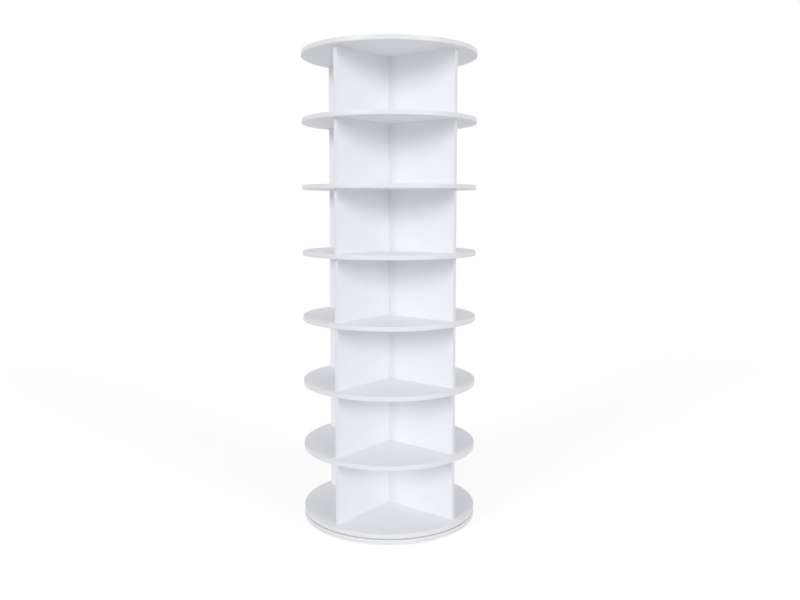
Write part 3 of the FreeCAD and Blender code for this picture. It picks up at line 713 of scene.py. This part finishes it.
@dataclass(frozen=True)
class DowelBeech(Finish):
    """Untreated beech with its grain along the dowel and short dark flecks."""

    grain_axis: Axis = Axis.Z
    grain_scales: Pair = (900.0, 45.0)
    grain_detail: float = 3.0
    grain_roughness: float = 0.6
    grain_share: float = 0.75
    grain_depth: float = 0.00006
    tone: Noise = Noise(25.0, 1.0)
    wood_tones: Stops = (
        (0.30, (0.60, 0.41, 0.24)), (0.52, (0.74, 0.56, 0.37)), (0.72, (0.82, 0.67, 0.48)))
    fleck_scales: Pair = (1500.0, 420.0)
    fleck_edges: Pair = (0.10, 0.26)
    fleck_tone: Colour = (0.42, 0.25, 0.13)
    fleck_share: float = 0.55
    roughness: float = 0.62
    grain_dulls: float = 0.14

    def drawn_out(self, across: float, along: float) -> tuple[float, ...]:
        """Scales on X, Y and Z of a pattern that is drawn out along the grain."""
        return tuple(along if axis is self.grain_axis else across for axis in Axis)

    def dress(self, graph: ShaderGraph) -> None:
        """Noise drawn out along the dowel makes the grain, cells the flecks.

        Args:
            graph: where the nodes go.
        """
        place = graph.place()
        grain = graph.noise(place, Noise(1.0, self.grain_detail, self.grain_roughness,
                                         self.drawn_out(*self.grain_scales)))
        tone = graph.noise(place, self.tone)
        cells = graph.cells(graph.stretched(place, self.drawn_out(*self.fleck_scales)), 1.0)
        fleck = 1 - cells.rising(*self.fleck_edges)
        wood = graph.ramp(grain * self.grain_share + tone * (1 - self.grain_share),
                          self.wood_tones)
        graph.shade(
            graph.mixed(fleck * self.fleck_share, wood, self.fleck_tone),
            self.roughness + grain * self.grain_dulls,
            graph.bump(grain, self.grain_depth),
            {"IOR": 1.45})


FIRST_SHELF_FACE = levels("shelf_1")[0]
SHELF_PITCH = levels("shelf_2")[0] - FIRST_SHELF_FACE
BASE_FACE = levels("base_disc")[0]
HALF_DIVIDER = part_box("tier_1_long_divider")[1].y

SHELF_BOARD = MelamineBoard("pearl_melamine_shelf", "white_board", Axis.Z,
                            FIRST_SHELF_FACE, SHELF_PITCH)
BASE_BOARD = MelamineBoard("pearl_melamine_base", "white_board", Axis.Z, BASE_FACE)
LONG_DIVIDER_BOARD = MelamineBoard("pearl_melamine_long_divider", "white_board",
                                   Axis.Y, -HALF_DIVIDER)
SHORT_DIVIDER_BOARD = MelamineBoard("pearl_melamine_short_divider", "white_board",
                                    Axis.X, -HALF_DIVIDER)
DISC_BAND = EdgeBandPlastic("satin_band_disc", "white_edge_band")
# The end strips use the disc band's plastic painted about 3 % lighter (0.780 against 0.757):
# painted light, a lit copy of one material.
END_BAND = EdgeBandPlastic("satin_band_divider", "white_edge_band", BandRun.UPRIGHT, 0.275,
                           white=(0.780, 0.786, 0.813))
CAP_PLASTIC = MouldedPlastic("moulded_white_cap", "white_cap")
GLIDE_PLASTIC = MouldedPlastic("moulded_glide", "glide_plastic", (0.25, 0.25, 0.26), 0.43)
CAGE_NYLON = MouldedPlastic("natural_nylon", "cage_nylon", (0.82, 0.80, 0.74), 0.37,
                            0.00004, 0.15)
PLATE_ZINC = ZincSheet("zinc_plated_sheet", "zinc_steel")
SCREW_ZINC = BareSteel(
    "zinc_plated_screw", "screw_steel", colour=(0.66, 0.66, 0.66),
    cloud_colour=(0.58, 0.57, 0.53), cloud=Noise(320.0, 3.0), cloud_dulls=0.16,
    marks=Noise(1.0, 1.0, stretch=(60.0, 60.0, 5200.0)), mark_depth=0.000006,
    marks_dull=0.05, roughness=0.22)
BALL_CHROME = BareSteel(
    "polished_ball", "ball_steel", colour=(0.80, 0.80, 0.82),
    cloud_colour=(0.74, 0.73, 0.70), cloud=Noise(420.0, 3.0), cloud_dulls=0.10,
    marks=Noise(1.0, 0.0, stretch=(900.0, 4200.0, 1300.0)), mark_depth=0.000002,
    roughness=0.05)
UPRIGHT_BEECH = DowelBeech("beech_upright", "dowel_beech", Axis.Z)
CROSS_BEECH = DowelBeech("beech_cross", "dowel_beech", Axis.Y)


def finished(piece: bpy.types.Object, finish: Finish, body: str,
             *nodes: str) -> bpy.types.Object:
    """Give a new piece its finish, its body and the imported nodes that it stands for.

    Args:
        piece: the new piece.
        finish: what it is made of.
        body: the body that it moves with.
        nodes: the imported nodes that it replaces.

    Returns:
        The piece.
    """
    piece.data.materials.append(finish.material())
    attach(piece, body)
    if nodes:
        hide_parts(*nodes)
    log.info("%s: %d faces, %s, on %s", piece.name, len(piece.data.polygons),
             finish.name, body)
    return piece


def refinished(node: str, finish: Finish) -> None:
    """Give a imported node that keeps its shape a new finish.

    Args:
        node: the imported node.
        finish: what it is made of.
    """
    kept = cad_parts[node]
    for holder in kept.material_slots:
        holder.material = finish.material()
    log.info("%s: packed shape, %s", node, finish.name)


# ---- edge bands

def strip_section(inner: float, core: float, outer: float, low: float, high: float,
                  rounding: float, sunk: float) -> np.ndarray:
    """The outline of an edge band, with an arc of 90 degrees at each outer edge.

    Args:
        inner: where its back lies.
        core: where its flat sides start.
        outer: where its front lies.
        low: where its lower side lies.
        high: where its upper side lies.
        rounding: the radius of the arcs.
        sunk: how far the back's edges lie inside the two sides.

    Returns:
        Points out along the lower side and back along the upper one.
    """
    middle = outer - rounding
    return np.concatenate([
        [(inner, low + sunk), (core, low)],
        arc((middle, low + rounding), rounding, -90.0, 0.0),
        arc((middle, high - rounding), rounding, 0.0, 90.0),
        [(core, high), (inner, high - sunk)],
    ])


@dataclass(frozen=True)
class DiscBand:
    """The edge band round one disc, with a butt joint where its two ends meet."""

    node: str
    body: str
    joint_angle: float
    rim: float = 0.300
    inner: float = 0.2986
    core: float = 0.29905
    rounding: float = 0.0007
    sunk: float = 0.0001
    joint_gap: float = 0.0002
    stations: int = 288

    def build(self) -> bpy.types.Object:
        """Carry the section round the disc, from one side of the joint to the other.

        Point (v, u) = (r[u] cos a[v], r[u] sin a[v], z[u]).

        Returns:
            The band.
        """
        gap = math.degrees(self.joint_gap / self.rim)
        turn = np.radians(self.joint_angle + np.linspace(
            gap / 2, FULL_TURN - gap / 2, self.stations))[:, None]
        radius, height = strip_section(self.inner, self.core, self.rim, *levels(self.node),
                                       self.rounding, self.sunk).T
        band = Shell.carried(wrapped(radius, turn, height))
        return finished(band.piece(f"{self.node}_strip"), DISC_BAND, self.body, self.node)


@dataclass(frozen=True)
class DividerEndBands:
    """The upright strips on the outer ends of all dividers."""

    node: str = "divider_end_bands"
    body: str = "tower"
    thickness: float = 0.001
    rounding: float = 0.0006
    sunk: float = 0.00006
    tiers: int = 7

    def build(self) -> bpy.types.Object:
        """Carry the section straight up, on each arm and tier.

        Returns:
            All strips as one piece.
        """
        ends = np.array(levels("tier_1_long_divider"))[:, None]
        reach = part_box(self.node)[1].x
        inside = reach - self.thickness
        x, y = strip_section(inside, inside + self.sunk, reach, -HALF_DIVIDER, HALF_DIVIDER,
                             self.rounding, self.sunk).T
        strip = Shell.carried(np.stack(np.broadcast_arrays(x, y, ends), axis=-1))
        strips = strip.repeated(spun(ARMS, heights=SHELF_PITCH * np.arange(self.tiers)))
        return finished(strips.piece("divider_end_strips"), END_BAND, self.body, self.node)


# ---- fasteners

@dataclass(frozen=True)
class Screw:
    """What the screws share: a thread that thins out toward the point.

    It starts below 0, and a gap at its start and one at its tip have no rings.
    """

    length: float
    thread_radius: float
    core_radius: float
    pitch: float
    per_pitch: int
    sharpness: float
    point: float
    point_share: float
    start: float
    gaps: Pair

    def thread(self, turn: np.ndarray) -> np.ndarray:
        """Carry the rings of the thread: radius = (core + (thread - core) t) s.

        t is 1 - |2 f - 1| to the power of the sharpness, where f is the part of
        (z / pitch - a / turn) over a whole number. s rises evenly over the point,
        from its share to 1.

        Args:
            turn: the angles of a ring's points.

        Returns:
            points[v, u], from the start to the tip.
        """
        rows = int((self.length - self.start) / self.pitch * self.per_pitch)
        first, last = self.start + self.gaps[0], self.length - self.gaps[1]
        height = -np.linspace(first, last, rows)[:, None]
        phase = (height / self.pitch - turn / (2 * np.pi)) % 1.0
        ridge = np.clip(1 - np.abs(2 * phase - 1), 0, 1) ** self.sharpness
        taper = np.clip((height + self.length) / self.point, self.point_share, 1.0)
        radius = (self.core_radius + (self.thread_radius - self.core_radius) * ridge) * taper
        return wrapped(radius, turn, height)


@dataclass(frozen=True)
class ShelfScrew(Screw):
    """A one-piece connector screw: hexagon socket, cone, neck and coarse thread."""

    length: float = 0.050
    head_radius: float = 0.005
    thread_radius: float = 0.0035
    core_radius: float = 0.0023
    pitch: float = 0.003
    per_pitch: int = 4
    sharpness: float = 1.5
    point: float = 0.004
    point_share: float = 0.15
    start: float = 0.012
    gaps: Pair = (0.0003, 0.0002)
    around: int = 18
    rim: float = 0.001
    bevel: float = 0.00025
    neck_radius: float = 0.0027
    neck_step: float = 0.0005
    socket_width: float = 0.004
    socket_depth: float = 0.0025
    socket_tip: float = 0.0004
    socket_bevel: Pair = (0.0003, 0.0001)

    def surface(self) -> Shell:
        """Carry rings up the socket, over the head and down the thread.

        The socket's radius is (w / 2) / cos(a - the nearest flat's angle).

        Returns:
            The screw with its head's top at 0 and its tip at -length.
        """
        turn = around(self.around)
        flat = np.pi / 3
        hexagon = self.socket_width / 2 / np.cos((turn % flat) - flat / 2)
        out, down = self.socket_bevel
        head = [
            (hexagon, -self.socket_depth), (hexagon, -down), (hexagon + out, 0.0),
            (self.head_radius - self.bevel, 0.0), (self.head_radius, -self.bevel),
            (self.head_radius, -self.rim),
            (self.neck_radius, -self.rim - (self.head_radius - self.neck_radius)),
            (self.neck_radius, -self.start + self.neck_step),
            (self.core_radius, -self.start),
        ]
        rings = np.array([wrapped(radius, turn, height) for radius, height in head])
        return Shell.carried(np.concatenate([rings, self.thread(turn)]), tips=(
            -self.socket_depth - self.socket_tip, -self.length))


@dataclass(frozen=True)
class PlateScrew(Screw):
    """A pan-head screw with a cross recess, for the turntable plates."""

    length: float = 0.0085
    head_radius: float = 0.0045
    thread_radius: float = 0.0020
    core_radius: float = 0.0013
    pitch: float = 0.0014
    per_pitch: int = 5
    sharpness: float = 1.3
    point: float = 0.0025
    point_share: float = 0.12
    start: float = 0.0
    gaps: Pair = (0.0006, 0.0003)
    around: int = 48
    head_height: float = 0.0018
    head_fall: float = 0.35
    head_rings: tuple[float, ...] = (*np.linspace(0.0003, 0.0036, 12), 0.0040, 0.0043, 0.0045)
    seat_edge: Pair = (0.0002, 0.0004)
    neck: float = 0.0003
    recess_reach: float = 0.0024
    recess_half_width: float = 0.00045
    recess_wall: float = 0.0002
    recess_depth: float = 0.0011
    recess_bow: float = 0.7
    circle: float = 0.130 * math.sqrt(2)
    corners: tuple[float, ...] = (45.0, 135.0, 225.0, 315.0)

    def surface(self) -> Shell:
        """Carry rings over the head, under it and down the thread.

        The head's height is h (1 - fall (r / R)^4). In the cross, where |x| or |y| is
        under the half width, it falls by the depth times 1 - (r / reach)^2 to the
        power of the bow.

        Returns:
            The screw with its head's seat at 0, its top above and its tip below.
        """
        turn = around(self.around)
        radius = np.array(self.head_rings)[:, None]
        dome = self.head_height * (1 - self.head_fall * (radius / self.head_radius) ** 4)
        narrow = radius * np.minimum(np.abs(np.cos(turn)), np.abs(np.sin(turn)))
        inside = np.clip((self.recess_half_width - narrow) / self.recess_wall + 0.5, 0, 1)
        bowl = np.clip(1 - (radius / self.recess_reach) ** 2, 0, 1) ** self.recess_bow
        head = wrapped(radius, turn, dome - inside * self.recess_depth * bowl)
        inset, rise = self.seat_edge
        seat = [(self.head_radius, rise), (self.head_radius - inset, 0.0),
                (self.thread_radius, 0.0), (self.core_radius, -self.neck)]
        under = np.array([wrapped(out, turn, height) for out, height in seat])
        return Shell.carried(np.concatenate([head, under, self.thread(turn)]), tips=(
            self.head_height - self.recess_depth, -self.length))

    def build(self, side: str, body: str, upside_down: bool = False) -> bpy.types.Object:
        """Make the screws at the four corners of a turntable plate.

        Args:
            side: which plate, lower or upper.
            body: the body that they move with.
            upside_down: whether they point up.

        Returns:
            The four screws as one piece.
        """
        node = f"turntable_{side}_screws"
        low, high = levels(node)
        seat = low + self.head_height if upside_down else high - self.head_height
        screws = self.surface().repeated(
            spun(np.radians(self.corners), [self.circle], [seat], upside_down))
        return finished(screws.piece(f"{side}_plate_screws"), SCREW_ZINC, body, node)


@dataclass(frozen=True)
class FlutedDowel:
    """A beech dowel with bevelled ends and pressed flutes along it.

    Each of the end rows is a height, an inset and a share of the flutes' depth.
    """

    length: float
    radius: float = 0.004
    end_rows: tuple[tuple[float, float, float], ...] = (
        (0.0, 0.0008, 0.2), (0.0008, 0.0001, 0.8), (0.00128, 0.0, 1.0))
    flutes: int = 16
    flute_depth: float = 0.0003
    around: int = 48

    def surface(self) -> Shell:
        """Carry rings up the dowel: radius = R - depth * (0.5 + 0.5 cos(n a))^2.

        Returns:
            The dowel, upright from 0.
        """
        turn = around(self.around)
        groove = self.flute_depth * (0.5 + 0.5 * np.cos(self.flutes * turn)) ** 2
        foot = np.array(self.end_rows)
        top = foot[::-1] * (-1, 1, 1) + (self.length, 0, 0)
        level, inset, share = np.concatenate([foot, top]).T[:, :, None]
        return Shell.carried(wrapped(self.radius - inset - groove * share, turn, level))


@dataclass(frozen=True)
class ScrewCap:
    """A moulded cover cap: a shallow dome, a rounded edge and a stem below."""

    radius: float = 0.0065
    height: float = 0.001
    crown: float = 0.00018
    crown_rings: tuple[float, float, int] = (0.15, 1.0, 8)
    edge: float = 0.0005
    edge_lift: float = 0.00003
    edge_start: float = 75.0
    foot_bevel: float = 0.0001
    stem_radius: float = 0.0018
    stem_length: float = 0.0023
    stem_bevel: float = 0.0004
    around: int = 48

    def surface(self) -> Shell:
        """Turn the cap's profile: z = h - crown (r / R)^2 on top, then the edge and stem.

        Returns:
            The cap, with its foot at 0.
        """
        flat = self.radius - self.edge
        out = np.linspace(*self.crown_rings) * flat
        top = np.stack([out, self.height - self.crown * (out / self.radius) ** 2], axis=-1)
        middle = self.height - self.crown - self.edge + self.edge_lift
        foot = np.array([
            (self.radius, self.foot_bevel), (self.radius - self.foot_bevel, 0.0),
            (self.stem_radius, 0.0), (self.stem_radius, self.stem_bevel - self.stem_length),
            (self.stem_radius - self.stem_bevel, -self.stem_length)])
        return revolved(
            np.concatenate([top, arc((flat, middle), self.edge, self.edge_start, 0.0), foot]),
            self.around, tips=(self.height, -self.stem_length))


# ---- sub-assemblies

@dataclass
class FixedBase:
    """The base disc with its band, floor glides and the lower half of the turntable."""

    body: str = "base"
    band_joint: float = 147.0
    glide_count: int = 8
    glide_circle: float = 0.270
    glide_radius: float = 0.0125
    glide_height: float = 0.004
    glide_rounding: float = 0.0012
    glide_bevel: float = 0.0002
    glide_points: int = 40
    well_radius: float = 0.0042
    well_depth: float = 0.0011
    well_slope: float = 0.0004
    well_lip: Pair = (0.0003, 0.0002)
    nail_radius: float = 0.001
    nail_length: float = 0.009
    nail_points: int = 24
    nail_dome: float = 0.0008
    nail_head: tuple[Pair, ...] = (
        (0.0012, 0.00078), (0.0022, 0.0007), (0.0028, 0.00045), (0.0030, 0.0002),
        (0.0029, 0.0))
    nail_tip: tuple[Pair, ...] = ((0.001, 0.0015), (0.0002, 0.0001))

    def glide_ring(self) -> Shell:
        """Loop a glide's section round the nail, with its foot's rim rounded.

        Returns:
            The glide's plastic, with its foot at 0.
        """
        radius, height, rounding = self.glide_radius, self.glide_height, self.glide_rounding
        out, up = self.well_lip
        profile = np.concatenate([
            [(self.nail_radius, height), (self.nail_radius, self.well_depth),
             (self.well_radius - self.well_slope, self.well_depth),
             (self.well_radius, up), (self.well_radius + out, 0.0)],
            arc((radius - rounding, rounding), rounding, -90.0, 0.0, 7),
            [(radius, height - self.glide_bevel), (radius - self.glide_bevel, height)],
        ])
        return revolved(profile, self.glide_points, looped=True)

    def nail(self) -> Shell:
        """Turn a nail's profile: domed head in the well, shank up into the disc, a point.

        Returns:
            The nail of a glide.
        """
        top = self.glide_height + self.nail_length
        seat = self.well_depth
        profile = np.array([
            *((radius, seat - below) for radius, below in self.nail_head),
            (self.nail_radius, seat),
            *((radius, top - below) for radius, below in self.nail_tip)])
        return revolved(profile, self.nail_points, tips=(seat - self.nail_dome, top))

    def build(self) -> None:
        """Make the base's pieces and give the base disc and lower plate their finish."""
        refinished("base_disc", BASE_BOARD)
        refinished("turntable_lower_plate", PLATE_ZINC)
        DiscBand("base_edge_band", self.body, self.band_joint).build()
        places = spun(around(self.glide_count), [self.glide_circle])
        finished(self.glide_ring().repeated(places).piece("floor_glides"),
                 GLIDE_PLASTIC, self.body, "base_glides")
        finished(self.nail().repeated(places).piece("glide_nails"), SCREW_ZINC, self.body)
        PlateScrew().build("lower", self.body)


@dataclass
class BallRing:
    """The ring of balls and the nylon cage that keeps them apart."""

    body: str = "ball_ring"
    race_radius: float = 0.120
    ball_radius: float = 0.00275
    ball_count: int = 36
    ball_rows: int = 15
    ball_points: int = 24
    ball_smooth: float = 60.0
    cage_half_width: float = 0.007
    pocket_radius: float = 0.0029
    edge: float = 0.00025
    eased_share: float = 0.12
    side_points: int = 6

    def ball(self) -> Shell:
        """A ball: radius R cos b and height R sin b, b from pole to pole."""
        last = 90.0 - 180.0 / (self.ball_rows + 1)
        return revolved(arc((0.0, 0.0), self.ball_radius, -last, last, self.ball_rows),
                        self.ball_points, tips=(-self.ball_radius, self.ball_radius))

    def cell(self) -> np.ndarray:
        """Lay out one cage cell on its face, in rows from the pocket to the border.

        Row t is (1 - t) times the pocket's circle plus t times the border, which is
        r from inner to outer radius and angle from -5 to 5 degrees about the ball.

        Returns:
            X and Y of each row's points.
        """
        half_cell = math.pi / self.ball_count
        inner = self.race_radius - self.cage_half_width
        outer = self.race_radius + self.cage_half_width
        corners = np.array([(outer, -half_cell), (outer, half_cell),
                            (inner, half_cell), (inner, -half_cell)])
        steps = np.linspace(0, 1, self.side_points, endpoint=False)[:, None]
        sides = [here + steps * (following - here)
                 for here, following in zip(corners, np.roll(corners, -1, axis=0))]
        radius, angle = np.concatenate(sides).T
        border = wrapped(radius, angle, 0.0)[:, :2]
        toward = border - [self.race_radius, 0.0]
        away = toward / np.linalg.norm(toward, axis=1, keepdims=True)
        pocket = np.array([self.race_radius, 0.0]) + self.pocket_radius * away
        share = np.array([0.0, self.eased_share, 1.0])[:, None, None]
        return (1 - share) * pocket + share * border

    def cage(self) -> Shell:
        """Join the cage's cells side by side round the ring, with eased pockets.

        The third row of quads is a cell's outer wall; the quarters of it that lie
        between two cells are left out, and the cells' borders become one.

        Returns:
            The cage.
        """
        low, high = levels("ball_cage")
        hole, eased, border = self.cell()
        heights = [(hole, low + self.edge), (eased, low), (border, low), (border, high),
                   (eased, high), (hole, high - self.edge)]
        rings = np.array([np.column_stack([ring, np.full(len(ring), z)])
                          for ring, z in heights])
        block = Shell.carried(rings, looped=True)
        outer_wall = 2
        row, column = np.divmod(np.arange(len(block.quads)), rings.shape[1])
        between = (row == outer_wall) & (column // self.side_points % 2 == 1)
        open_cell = Shell(block.points, block.quads[~between], block.triangles)
        return open_cell.repeated(spun(around(self.ball_count))).welded()

    def build(self) -> None:
        """Make the balls and the cage."""
        middle = sum(levels("bearing_balls")) / 2
        places = spun(around(self.ball_count), [self.race_radius], [middle])
        balls = self.ball().repeated(places).piece("bearing_ball_set", self.ball_smooth)
        finished(balls, BALL_CHROME, self.body, "bearing_balls")
        finished(self.cage().piece("nylon_ball_cage"), CAGE_NYLON, self.body, "ball_cage")


@dataclass
class TurningTower:
    """Everything that turns: shelves, dividers, their bands and their fasteners."""

    LAID_ALONG_Y: ClassVar[tuple[tuple[int, ...], ...]] = ((1, 0, 0), (0, 0, 1), (0, -1, 0))

    body: str = "tower"
    tiers: int = 7
    screw_distances: Pair = (0.050, 0.235)
    screw_recess: float = 0.0003
    dowel_distances: Pair = (0.090, 0.195)
    dowel_length: float = 0.030
    cross_inset: float = 0.050
    joint_spread: float = 9.0
    joint_angle: float = 128.5

    @property
    def shelf_names(self) -> list[str]:
        """The discs' nodes, from the lowest to the top one."""
        return [f"shelf_{n + 1}" for n in range(self.tiers)] + ["top_shelf"]

    def boards(self) -> None:
        """Give the discs, the dividers and the upper plate their finish."""
        for name in self.shelf_names:
            refinished(name, SHELF_BOARD)
        for tier in range(1, self.tiers + 1):
            refinished(f"tier_{tier}_long_divider", LONG_DIVIDER_BOARD)
            for side in ("rear", "front"):
                refinished(f"tier_{tier}_{side}_divider", SHORT_DIVIDER_BOARD)
        refinished("turntable_upper_plate", PLATE_ZINC)

    def bands(self) -> None:
        """Make the disc bands, their joints near the back, and the divider strips."""
        random = np.random.default_rng(SEED)
        for name in self.shelf_names:
            joint = self.joint_angle + self.joint_spread * random.standard_normal()
            DiscBand(f"{name}_edge_band", self.body, joint).build()
        DividerEndBands().build()

    def screws(self) -> None:
        """Make the screws, down from the discs and up from the lowest, and the caps."""
        screw = ShelfScrew().surface()
        tops = [levels(name)[1] - self.screw_recess for name in self.shelf_names[1:]]
        down = screw.repeated(spun(ARMS, self.screw_distances, tops))
        finished(down.piece("connector_screws"), SCREW_ZINC, self.body, "shelf_screws")
        foot = FIRST_SHELF_FACE + self.screw_recess
        up = screw.repeated(spun(ARMS, self.screw_distances, [foot], upside_down=True))
        finished(up.piece("lowest_connector_screws"), SCREW_ZINC, self.body,
                 "lowest_shelf_screws")
        PlateScrew().build("upper", self.body, upside_down=True)
        face = levels("top_shelf")[1]
        caps = ScrewCap().surface().repeated(spun(ARMS, self.screw_distances, [face]))
        finished(caps.piece("cover_caps"), CAP_PLASTIC, self.body, "screw_caps")

    def dowels(self) -> None:
        """Make the upright dowels in the discs and the ones across the long dividers."""
        tiers_up = SHELF_PITCH * np.arange(self.tiers)
        rises = levels("shelf_dowels")[0] + tiers_up
        upright = FlutedDowel(self.dowel_length).surface().repeated(
            spun(ARMS, self.dowel_distances, rises))
        finished(upright.piece("upright_dowels"), UPRIGHT_BEECH, self.body, "shelf_dowels")
        near, far = (corner.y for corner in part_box("cross_dowels"))
        low, high = levels("tier_1_long_divider")
        pair = np.array([low + self.cross_inset, high - self.cross_inset])
        heights = (pair[:, None] + tiers_up).ravel()
        shifts = np.stack(np.broadcast_arrays(0.0, near, heights), axis=-1)
        cross = FlutedDowel(far - near).surface().repeated(
            placed(np.array(self.LAID_ALONG_Y), shifts))
        finished(cross.piece("cross_dowel_set"), CROSS_BEECH, self.body, "cross_dowels")

    def build(self) -> None:
        """Make every piece of the tower."""
        self.boards()
        self.bands()
        self.screws()
        self.dowels()


# ---- studio

@dataclass(frozen=True)
class FarSoftbox:
    """A large soft light, so far away that all tiers get the same of it."""

    name: str
    azimuth: float
    elevation: float
    spread: float
    strength: float

    def build(self) -> None:
        """Aim the light at the tower from its azimuth and elevation."""
        lamp = bpy.data.lights.new(self.name, "SUN")
        lamp.angle = math.radians(self.spread)
        lamp.energy = self.strength
        away = direction(self.azimuth, self.elevation)
        new_object(self.name, lamp).rotation_euler = away.to_track_quat("Z", "Y").to_euler()


@dataclass
class Studio:
    """A white studio: floor, surrounding light and softboxes."""

    WHITE: ClassVar[tuple[float, ...]] = (1.0, 1.0, 1.0, 1.0)

    ambient: float = 0.640
    light_bounces: int = 12
    floor_size: float = 60.0
    floor_cells: int = 24
    floor_white: float = 0.80
    floor_specks: Noise = Noise(40.0)
    speck_depth: float = 0.02
    floor_light: float = 0.81
    shadow_share: float = 0.30
    softboxes: tuple[FarSoftbox, ...] = (
        FarSoftbox("key_softbox", -1.5, 18.0, 20.0, 1.03),
        FarSoftbox("fill_softbox", 83.5, 16.0, 20.0, 0.91),
    )

    def floor(self) -> None:
        """A level sheet at height 0 that shows white, with the tower's soft shadow.

        Point (v, u) = (x[u], y[v], 0).
        """
        line = np.linspace(-self.floor_size / 2, self.floor_size / 2, self.floor_cells)
        points = np.stack(np.meshgrid(line, line, 0.0), axis=-1).reshape(-1, 3)
        corner = np.arange(len(points)).reshape(len(line), -1)
        quads = np.stack([corner[:-1, :-1], corner[:-1, 1:], corner[1:, 1:], corner[1:, :-1]],
                         axis=-1).reshape(-1, 4)
        sheet = Shell(points, quads, np.empty((0, 3), int)).piece("studio_floor")
        sheet.data.materials.append(self.floor_material())

    def floor_material(self) -> bpy.types.Material:
        """Mix pale matt paint with what the eye and gloss see: plain white plus shadow.

        Returns:
            The material.
        """
        made = bpy.data.materials.new("studio_floor_paint")
        graph = ShaderGraph(made)
        speck = graph.noise(graph.place(), self.floor_specks)
        tone = graph.mixed(speck, (self.floor_white,) * 3,
                           (self.floor_white - self.speck_depth,) * 3)
        matt = graph.node("ShaderNodeBsdfDiffuse", inputs={"Color": tone})
        veil = graph.node("ShaderNodeBsdfDiffuse", inputs={
            "Color": (*(self.shadow_share,) * 3, 1.0)})
        glow = graph.node("ShaderNodeEmission", inputs={
            "Color": self.WHITE, "Strength": 1.0 - self.shadow_share * self.floor_light})
        shown = graph.node("ShaderNodeAddShader", inputs={0: veil, 1: glow})
        surface = graph.node("ShaderNodeMixShader", inputs={
            0: seen_directly(graph), 1: matt, 2: shown})
        graph.node("ShaderNodeOutputMaterial", inputs={"Surface": surface})
        return made

    def surround(self) -> None:
        """Light from all round; to the eye and in gloss the surround is plain white."""
        world = bpy.data.worlds.new("studio_surround")
        bpy.context.scene.world = world
        graph = ShaderGraph(world)
        light = graph.node("ShaderNodeBackground", inputs={
            "Color": self.WHITE,
            "Strength": self.ambient + seen_directly(graph) * (1.0 - self.ambient)})
        graph.node("ShaderNodeOutputWorld", inputs={"Surface": light})

    def build(self) -> None:
        """Make the floor, the surround and the lights.

        The compartments are deep and white, so light may go round in them often.
        """
        bpy.context.scene.cycles.diffuse_bounces = self.light_bounces
        self.floor()
        self.surround()
        for softbox in self.softboxes:
            softbox.build()
        log.info("studio: ambient %.3f, %d softboxes", self.ambient, len(self.softboxes))


def seen_directly(graph: ShaderGraph) -> Wire:
    """Tell what the eye, gloss or glass sees from light on its way round.

    Args:
        graph: where the nodes go.

    Returns:
        1 for what is seen, 0 for light on its way round.
    """
    path = graph.node("ShaderNodeLightPath").socket.node
    camera, gloss, glass = (Wire(graph, path.outputs[name]) for name in (
        "Is Camera Ray", "Is Glossy Ray", "Is Transmission Ray"))
    return camera.larger(gloss).larger(glass)


@dataclass(frozen=True)
class ProductCamera:
    """The camera, round the tower's axis at a distance, with its lens in pixels."""

    azimuth: float = 38.5
    distance: float = 2.735
    height: float = 1.089
    tilt: float = 5.1
    focal_pixels: float = 784.0
    axis_pixel: Pair = (389.2, 276.0)
    image: tuple[int, int] = (800, 600)
    sensor: float = 36.0

    def build(self) -> None:
        """Stand the camera at d (sin a, -cos a) and tilt it down."""
        lens = bpy.data.cameras.new("product_camera")
        width, height = self.image
        lens.sensor_width = self.sensor
        lens.lens = self.focal_pixels / width * self.sensor
        lens.shift_x = (width / 2 - self.axis_pixel[0]) / width
        lens.shift_y = (self.axis_pixel[1] - height / 2) / width
        holder = new_object("product_camera", lens)
        a = math.radians(self.azimuth)
        holder.location = (math.sin(a) * self.distance, -math.cos(a) * self.distance,
                           self.height)
        back = direction(self.azimuth, self.tilt)
        holder.rotation_euler = back.to_track_quat("Z", "Y").to_euler()
        bpy.context.scene.camera = holder
        log.info("camera: lens %.2f mm, shift %.4f, %.4f", lens.lens, lens.shift_x,
                 lens.shift_y)


def main() -> None:
    """Build the camera, the studio and the three sub-assemblies, in that order."""
    logging.basicConfig(level=logging.INFO, format="%(name)s: %(message)s")
    bpy.context.scene.view_settings.view_transform = "Standard"
    ProductCamera().build()
    Studio().build()
    FixedBase().build()
    BallRing().build()
    TurningTower().build()


if __name__ == "__main__":
    main()
